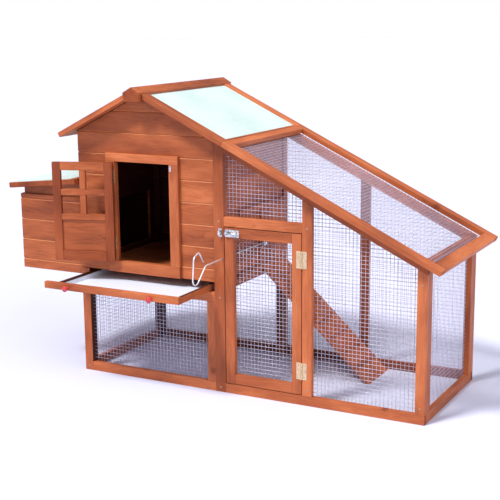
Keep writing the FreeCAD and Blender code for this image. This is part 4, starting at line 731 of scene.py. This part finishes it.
# a closed slab: height over the sheet is a few crossed sine waves of random phase, fading to nothing at
# the edges; the under side is the same grid, level
def feltSlab(points, f, rng):
    corner, side, up, normal, width, left, right = sheetFrame(points)
    if normal[2] < 0:
        normal = -normal
    height = max(left, right)
    u = np.linspace(0, 1, max(4, round(width / f["step"])))
    v = np.linspace(0, 1, max(4, round(height / f["step"])))
    gu, gv = np.meshgrid(u, v)
    wave = np.zeros_like(gu)
    wide, tall = f["perMetre"]
    for reach in f["waves"]:
        a, b = rng.uniform(0, 6.28, 2)
        turn = rng.uniform(-1, 1)
        slanting = np.sin(reach * (gu * width + turn * gv * height) * wide + a)
        wave += slanting * np.sin(reach * gv * height * tall + b) / reach
    toEdge = np.minimum(np.minimum(gu, 1 - gu), np.minimum(gv, 1 - gv))
    wave *= f["ripple"] * np.minimum(1, f["fade"] * toEdge)
    base = ((points - corner) @ normal).min()
    top = corner + gu[..., None] * width * side + gv[..., None] * height * up
    over = top + (base + f["thick"] + wave)[..., None] * normal
    under = top + base * normal
    rows, cols = gu.shape
    faces = gridFaces(rows, cols)
    faces += [face[::-1] for face in gridFaces(rows, cols, start=rows * cols)]
    ring = np.concatenate([
        np.arange(cols), np.arange(1, rows) * cols + cols - 1,
        (rows - 1) * cols + np.arange(cols - 2, -1, -1), np.arange(rows - 2, 0, -1) * cols])
    after = np.roll(ring, -1)
    faces += np.stack([ring, ring + rows * cols, after + rows * cols, after], -1).tolist()
    return np.concatenate([over.reshape(-1, 3), under.reshape(-1, 3)]), faces


rng = np.random.default_rng(feltSheet["seed"])
for node in ("roof_felt", "nest_lid_felt"):
    slabs = [feltSlab(points, feltSheet, rng) for points in solidsOf(node)]
    felt = outward(addPiece(node + "_sheet", *gather(slabs), paleFelt, smooth=False))
    fit(felt, cadNodes[node]["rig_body"], [node])
print("coop: felt laid")


traySheet = {
    "lip": 0.016, "fold": 0.004, "foldSteps": 5, "across": 24, "along": 24,
    "wall": 0.0007, "clear": 0.0006, "belly": 0.0009, "ripples": (9, 4),
}


# a folded sheet: its section is a lip, a quarter-round fold, the floor, a fold and a lip, carried from
# front to back; the floor rises a little as a product of half sine waves with a slow ripple
def addTraySheet(s):
    low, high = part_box("tray_sheet")
    left, right = low.x + s["clear"], high.x - s["clear"]
    floor = low.z + s["wall"]
    turn = np.linspace(np.pi / 2, 0, s["foldSteps"])
    foldX = left + s["fold"] * (1 - np.sin(turn))
    foldZ = floor + s["fold"] * (1 - np.cos(turn))
    flatX = np.linspace(left + s["fold"], right - s["fold"], s["across"] + 2)[1:-1]
    top = [floor + s["lip"]]
    x = np.concatenate([[left], foldX, flatX, (left + right) - foldX[::-1], [right]])
    z = np.concatenate([top, foldZ, np.full(s["across"], floor), foldZ[::-1], top])
    y = np.linspace(low.y + s["clear"], high.y - s["clear"], s["along"])
    gx, gy = np.meshgrid(x, y)
    gz = np.broadcast_to(z, gx.shape)
    across = (gx - left) / (right - left)
    along = (gy - y[0]) / (y[-1] - y[0])
    wide, deep = s["ripples"]
    belly = s["belly"] * np.sin(np.pi * across) * (0.4 + 0.6 * np.sin(np.pi * along))
    rise = np.abs(belly * np.cos(wide * across + deep * along))
    points = np.stack([gx, gy, gz + np.where(gz > floor, 0, rise)], -1).reshape(-1, 3)
    sheet = addPiece("tray_sheet_folded", points, gridFaces(len(y), len(x)), galvanisedSheet)
    wall = sheet.modifiers.new("sheetWall", "SOLIDIFY")
    wall.thickness = s["wall"]
    wall.offset = -1
    return fit(sheet, "tray", ["tray_sheet"])


addTraySheet(traySheet)

knob = {"sides": 32, "profile": [  # distance out from the rail, radius
    (0.0, 0.0084), (0.0012, 0.0080), (0.0040, 0.0064), (0.0075, 0.0058), (0.0100, 0.0066),
    (0.0118, 0.0092), (0.0136, 0.0110), (0.0160, 0.0119), (0.0182, 0.0117), (0.0200, 0.0102),
    (0.0212, 0.0074), (0.0218, 0.0040), (0.0220, 0.0006)]}

# each knob is a turned profile that starts at the front rail's face
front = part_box("tray_frame")[0].y
knobs = []
for points in solidsOf("tray_knobs"):
    middle = (points.min(0) + points.max(0)) / 2
    knobs.append(spin(knob["profile"], (middle[0], front, middle[2]), (0, -1, 0), knob["sides"]))
fit(outward(addPiece("tray_knobs_turned", *gather(knobs), redPaint)), "tray", ["tray_knobs"])


pullRod = {
    "radius": 0.0026, "reach": 0.011, "steps": 9, "sides": 14,
    "bends": [(0.061, -0.058), (0.082, -0.061), (0.096, -0.046),  # forward and up from the handle's root
              (0.086, 0.046), (0.049, 0.061), (0.014, 0.016)],
}


# straight runs joined by parabolic bends: near each corner C the line follows
# (1-t)^2 A + 2t(1-t) C + t^2 B, where A and B lie a short way along the two runs
def roundedRoute(points, reach, steps):
    points = np.array(points, float)
    run = np.diff(points, axis=0)
    length = np.linalg.norm(run, axis=1)
    way = run / length[:, None]
    corner = points[1:-1]
    back = np.minimum(reach, 0.45 * length[:-1])[:, None]  # short of halfway, so bends never meet
    on = np.minimum(reach, 0.45 * length[1:])[:, None]
    a, b = corner - way[:-1] * back, corner + way[1:] * on
    t = np.linspace(0, 1, steps)[None, :, None]
    bend = (1 - t) ** 2 * a[:, None] + 2 * t * (1 - t) * corner[:, None] + t ** 2 * b[:, None]
    return np.concatenate([points[:1], bend.reshape(-1, 2), points[-1:]])


# a round section carried along a route that lies in one upright plane: each ring stands square to
# the route, at radius * (cos angle along the plane, sin angle out of it)
def rodAlong(route, x, radius, sides):
    way = np.gradient(route, axis=0)
    way /= np.linalg.norm(way, axis=1)[:, None]
    square = np.stack([-way[:, 1], way[:, 0]], -1)
    angle = np.linspace(0, 2 * np.pi, sides, endpoint=False)
    flat = route[:, None] + square[:, None] * (np.cos(angle) * radius)[None, :, None]
    out = np.broadcast_to(x + np.sin(angle) * radius, flat.shape[:2])
    return np.concatenate([out[..., None], flat], -1).reshape(-1, 3), tubeFaces(1, len(route), sides)


# the rod runs level from the pop door to the front, then bends through its handle's corners
def addPullRod(r):
    low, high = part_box("pull_rod")
    root = low.y + r["radius"] + max(forward for forward, up in r["bends"])
    level = low.z + r["radius"] - min(up for forward, up in r["bends"])
    corners = [(high.y, level), (root, level)]
    corners += [(root - forward, level + up) for forward, up in r["bends"]]
    route = roundedRoute(corners, r["reach"], r["steps"])
    shape = rodAlong(route, (low.x + high.x) / 2, r["radius"], r["sides"])
    rod = addPiece("pull_rod_bent", *shape, metal["brightWire"])
    return fit(outward(rod), "pop_door", ["pull_rod"])


addPullRod(pullRod)
print("coop: tray and rod made")


fittings = {
    "edge": ("brokenEdges", 0.00035, 1, 40), "sides": 24,
    "frameScrew": (0.0038, 0.0012), "leafScrew": (0.0024, 0.0005),  # radius and dome
    "rings": (0.06, 0.18, 0.3, 0.42, 0.55, 0.7, 0.86, 1.0, 1.0), "fall": 0.65, "turn": 0.35,
    "slot": {"half": 0.13, "reach": 0.6, "depth": 0.6},
    "leafPlaces": ((-0.66, 0.36), (0.0, 0.22), (0.66, 0.36)),  # along the leaf's half, out across the plate
}


# a domed screw head on rings of radius r: height = dome * (1 - fall * r^2), less a cross-shaped slot
# near the middle; the last ring drops to the seat
def screwHead(origin, axis, size, f):
    radius, dome = size
    axis, first, second = squareTo(axis)
    r = np.array(f["rings"])
    angle = np.linspace(0, 2 * np.pi, f["sides"], endpoint=False) + f["turn"]
    x, y = r[:, None] * np.cos(angle), r[:, None] * np.sin(angle)
    cross = (np.minimum(np.abs(x), np.abs(y)) < f["slot"]["half"]) & (r[:, None] < f["slot"]["reach"])
    z = dome * (1 - f["fall"] * r[:, None] ** 2) - cross * dome * f["slot"]["depth"]
    z[-1] = 0
    points = np.stack([x * radius, y * radius, z], -1).reshape(-1, 3)
    return setIn(points, origin, first, second, axis), tubeFaces(1, len(r), f["sides"])


# a hinge leaf's screw places: the pin's side is where most corners crowd, the plate lies beyond it,
# and the screws stand staggered on the face that the barrel stands proud of
def leafPlaces(points, places):
    axes = np.linalg.svd(points - points.mean(0), full_matrices=False)[2]  # tall, wide and thin
    centre = (points.min(0) + points.max(0)) / 2
    flat = (points - centre) @ axes.T
    low, high = flat.min(0), flat.max(0)
    side = 1 if flat[:, 1].mean() > (high[1] + low[1]) / 2 else -1
    edge = low[1] if side > 0 else high[1]
    plate = flat[np.abs(flat[:, 1] - edge) < 0.0005]
    proud = 1 if flat[:, 2].mean() > plate[:, 2].mean() else -1
    face = plate[:, 2].max() if proud > 0 else plate[:, 2].min()
    half, width = (high[0] - low[0]) / 2, high[1] - low[1]
    spots = [(up * half, edge + side * over * width, face) for up, over in places]
    return [(centre + np.array(spot) @ axes, axes[2] * proud) for spot in spots]


plated = {
    "run_door_hinge_post_leaves": "brassPlate", "run_door_hinge_door_leaves": "brassPlate",
    "house_door_hinge_fixed_leaves": "agedBrass", "house_door_hinge_door_leaves": "agedBrass",
    "nest_lid_hinge_wall_leaves": "agedBrass", "nest_lid_hinge_lid_leaves": "agedBrass",
    "bolt_barrel": "zincSteel", "bolt_keeper": "zincSteel", "house_door_button": "zincSteel",
    "pull_rod_bracket": "zincSteel",
}
for node, coat in plated.items():
    addCopy(node, cleanCopy(node, node + "_plated"), metal[coat], fittings["edge"])

for node in sorted(n for n in notTimber if "hinge" in n):
    heads = [screwHead(place, axis, fittings["leafScrew"], fittings)
             for points in solidsOf(node) for place, axis in leafPlaces(points, fittings["leafPlaces"])]
    screws = outward(addPiece(node + "_screws", *gather(heads), metal["zincSteel"]))
    fit(screws, cadNodes[node]["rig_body"], [])

heads = []
for points in solidsOf("frame_screws"):
    middle = (points.min(0) + points.max(0)) / 2
    seat = (middle[0], points[:, 1].max(), middle[2])
    heads.append(screwHead(seat, (0, -1, 0), fittings["frameScrew"], fittings))
screws = outward(addPiece("frame_screw_heads", *gather(heads), metal["dullScrew"]))
fit(screws, "coop", ["frame_screws"])


boltRod = {
    "sides": 24, "chamfer": 0.0012, "knobAt": 0.045, "stem": 0.0017, "stemFrom": 0.001, "ball": 0.0026,
    "neck": 2.4, "ballSweep": (0.75, 3.05, 9),  # ball radii from the tip; first angle, last angle, steps
}


# the bolt is a bar with two chamfered ends; its finger knob is a stem that swells to a ball
def addBoltRod(b):
    low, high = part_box("bolt_rod")
    length, radius = high.x - low.x, (high.y - low.y) / 2
    middle, level = low.y + radius, high.z - radius
    cut, ball = b["chamfer"], b["ball"]
    ends = [(0, radius - cut), (cut, radius), (length - cut, radius), (length, radius - cut)]
    bar = spin(ends, (low.x, middle, level), (1, 0, 0), b["sides"])
    drop = level - low.z
    angle = np.linspace(*b["ballSweep"])
    profile = [(b["stemFrom"], b["stem"]), (drop - b["neck"] * ball, b["stem"])]
    profile += np.stack([drop - ball - ball * np.cos(angle), ball * np.sin(angle)], -1).tolist()
    finger = spin(profile, (low.x + b["knobAt"], middle, level), (0, 0, -1), b["sides"])
    rod = outward(addPiece("bolt_rod_turned", *gather([bar, finger]), metal["zincSteel"]))
    return fit(rod, "bolt", ["bolt_rod"])


addBoltRod(boltRod)
print("coop: fittings screwed on")


studio = {
    "floorRadius": 60.0, "innerShare": 0.02, "rings": 16, "spokes": 64,
    "floor": (0.63, 0.64, 0.79), "speck": 0.985, "rough": 0.85, "lampsAway": 6,
    "level": (1.0, 1.0, 1.04), "zenith": (0.34, 0.35, 0.39), "fade": (0.05, 0.22),
    "key": {"turn": -28, "height": 57, "spread": 12, "power": 3.6},
    "overhead": {"turn": 30, "height": 76, "spread": 50, "power": 0.5},
    "fromRight": {"turn": 66, "height": 30, "spread": 50, "power": 1.15},
}


# a flat disc of rings, radius growing with the square of the ring's number
def addFloor(s):
    rings, spokes = s["rings"], s["spokes"]
    r = s["floorRadius"] * np.linspace(s["innerShare"], 1, rings) ** 2
    angle = np.linspace(0, 2 * np.pi, spokes, endpoint=False)
    level = np.zeros((rings, spokes))
    points = np.stack([r[:, None] * np.cos(angle), r[:, None] * np.sin(angle), level], -1).reshape(-1, 3)
    mat, shader, add, join = newFinish("paleFloor")
    speck = noiseOn(add, objectPlace(add), (3.0, 3.0, 3.0), 5.0)
    pale = np.array(s["floor"])
    join(ramp(add, speck, [(0.3, tuple(pale * s["speck"])), (0.7, tuple(pale))]), "Base Color")
    shader.inputs["Roughness"].default_value = s["rough"]
    faces = gridFaces(rings, spokes, True) + [list(range(spokes))]
    addPiece("studioFloor", points, faces, mat, smooth=False)


# a wide soft lamp far away: turn is the bearing it shines from, measured from the front to the right
def addSoftLamp(name, lamp):
    data = bpy.data.lights.new(name, "SUN")
    data.angle = math.radians(lamp["spread"])
    data.energy = lamp["power"]
    turn, height = math.radians(lamp["turn"]), math.radians(lamp["height"])
    across = math.cos(height)
    source = Vector((math.sin(turn) * across, -math.cos(turn) * across, math.sin(height)))
    aim = source.to_track_quat("Z", "Y").to_matrix().to_4x4()
    placeObject(name, data).matrix_world = Matrix.Translation(source * studio["lampsAway"]) @ aim


# a backdrop that is palest at eye level and greyer overhead: its colour follows the sine of the
# height looked at
def addBackdrop(s):
    world = bpy.data.worlds.new("studioBackdrop")
    bpy.context.scene.world = world
    world.use_nodes = True
    tree = world.node_tree
    place = tree.nodes.new("ShaderNodeTexCoord")
    part = tree.nodes.new("ShaderNodeSeparateXYZ")
    fade = tree.nodes.new("ShaderNodeValToRGB")
    for stop, height, colour in zip(fade.color_ramp.elements, s["fade"], (s["level"], s["zenith"])):
        stop.position = height
        stop.color = (*colour, 1)
    tree.links.new(place.outputs["Generated"], part.inputs[0])
    tree.links.new(part.outputs[2], fade.inputs[0])
    tree.links.new(fade.outputs[0], tree.nodes["Background"].inputs["Color"])


addFloor(studio)
addBackdrop(studio)
for lamp in ("key", "overhead", "fromRight"):
    addSoftLamp(lamp, studio[lamp])
bpy.context.scene.view_settings.view_transform = "Standard"
print("coop: lit")
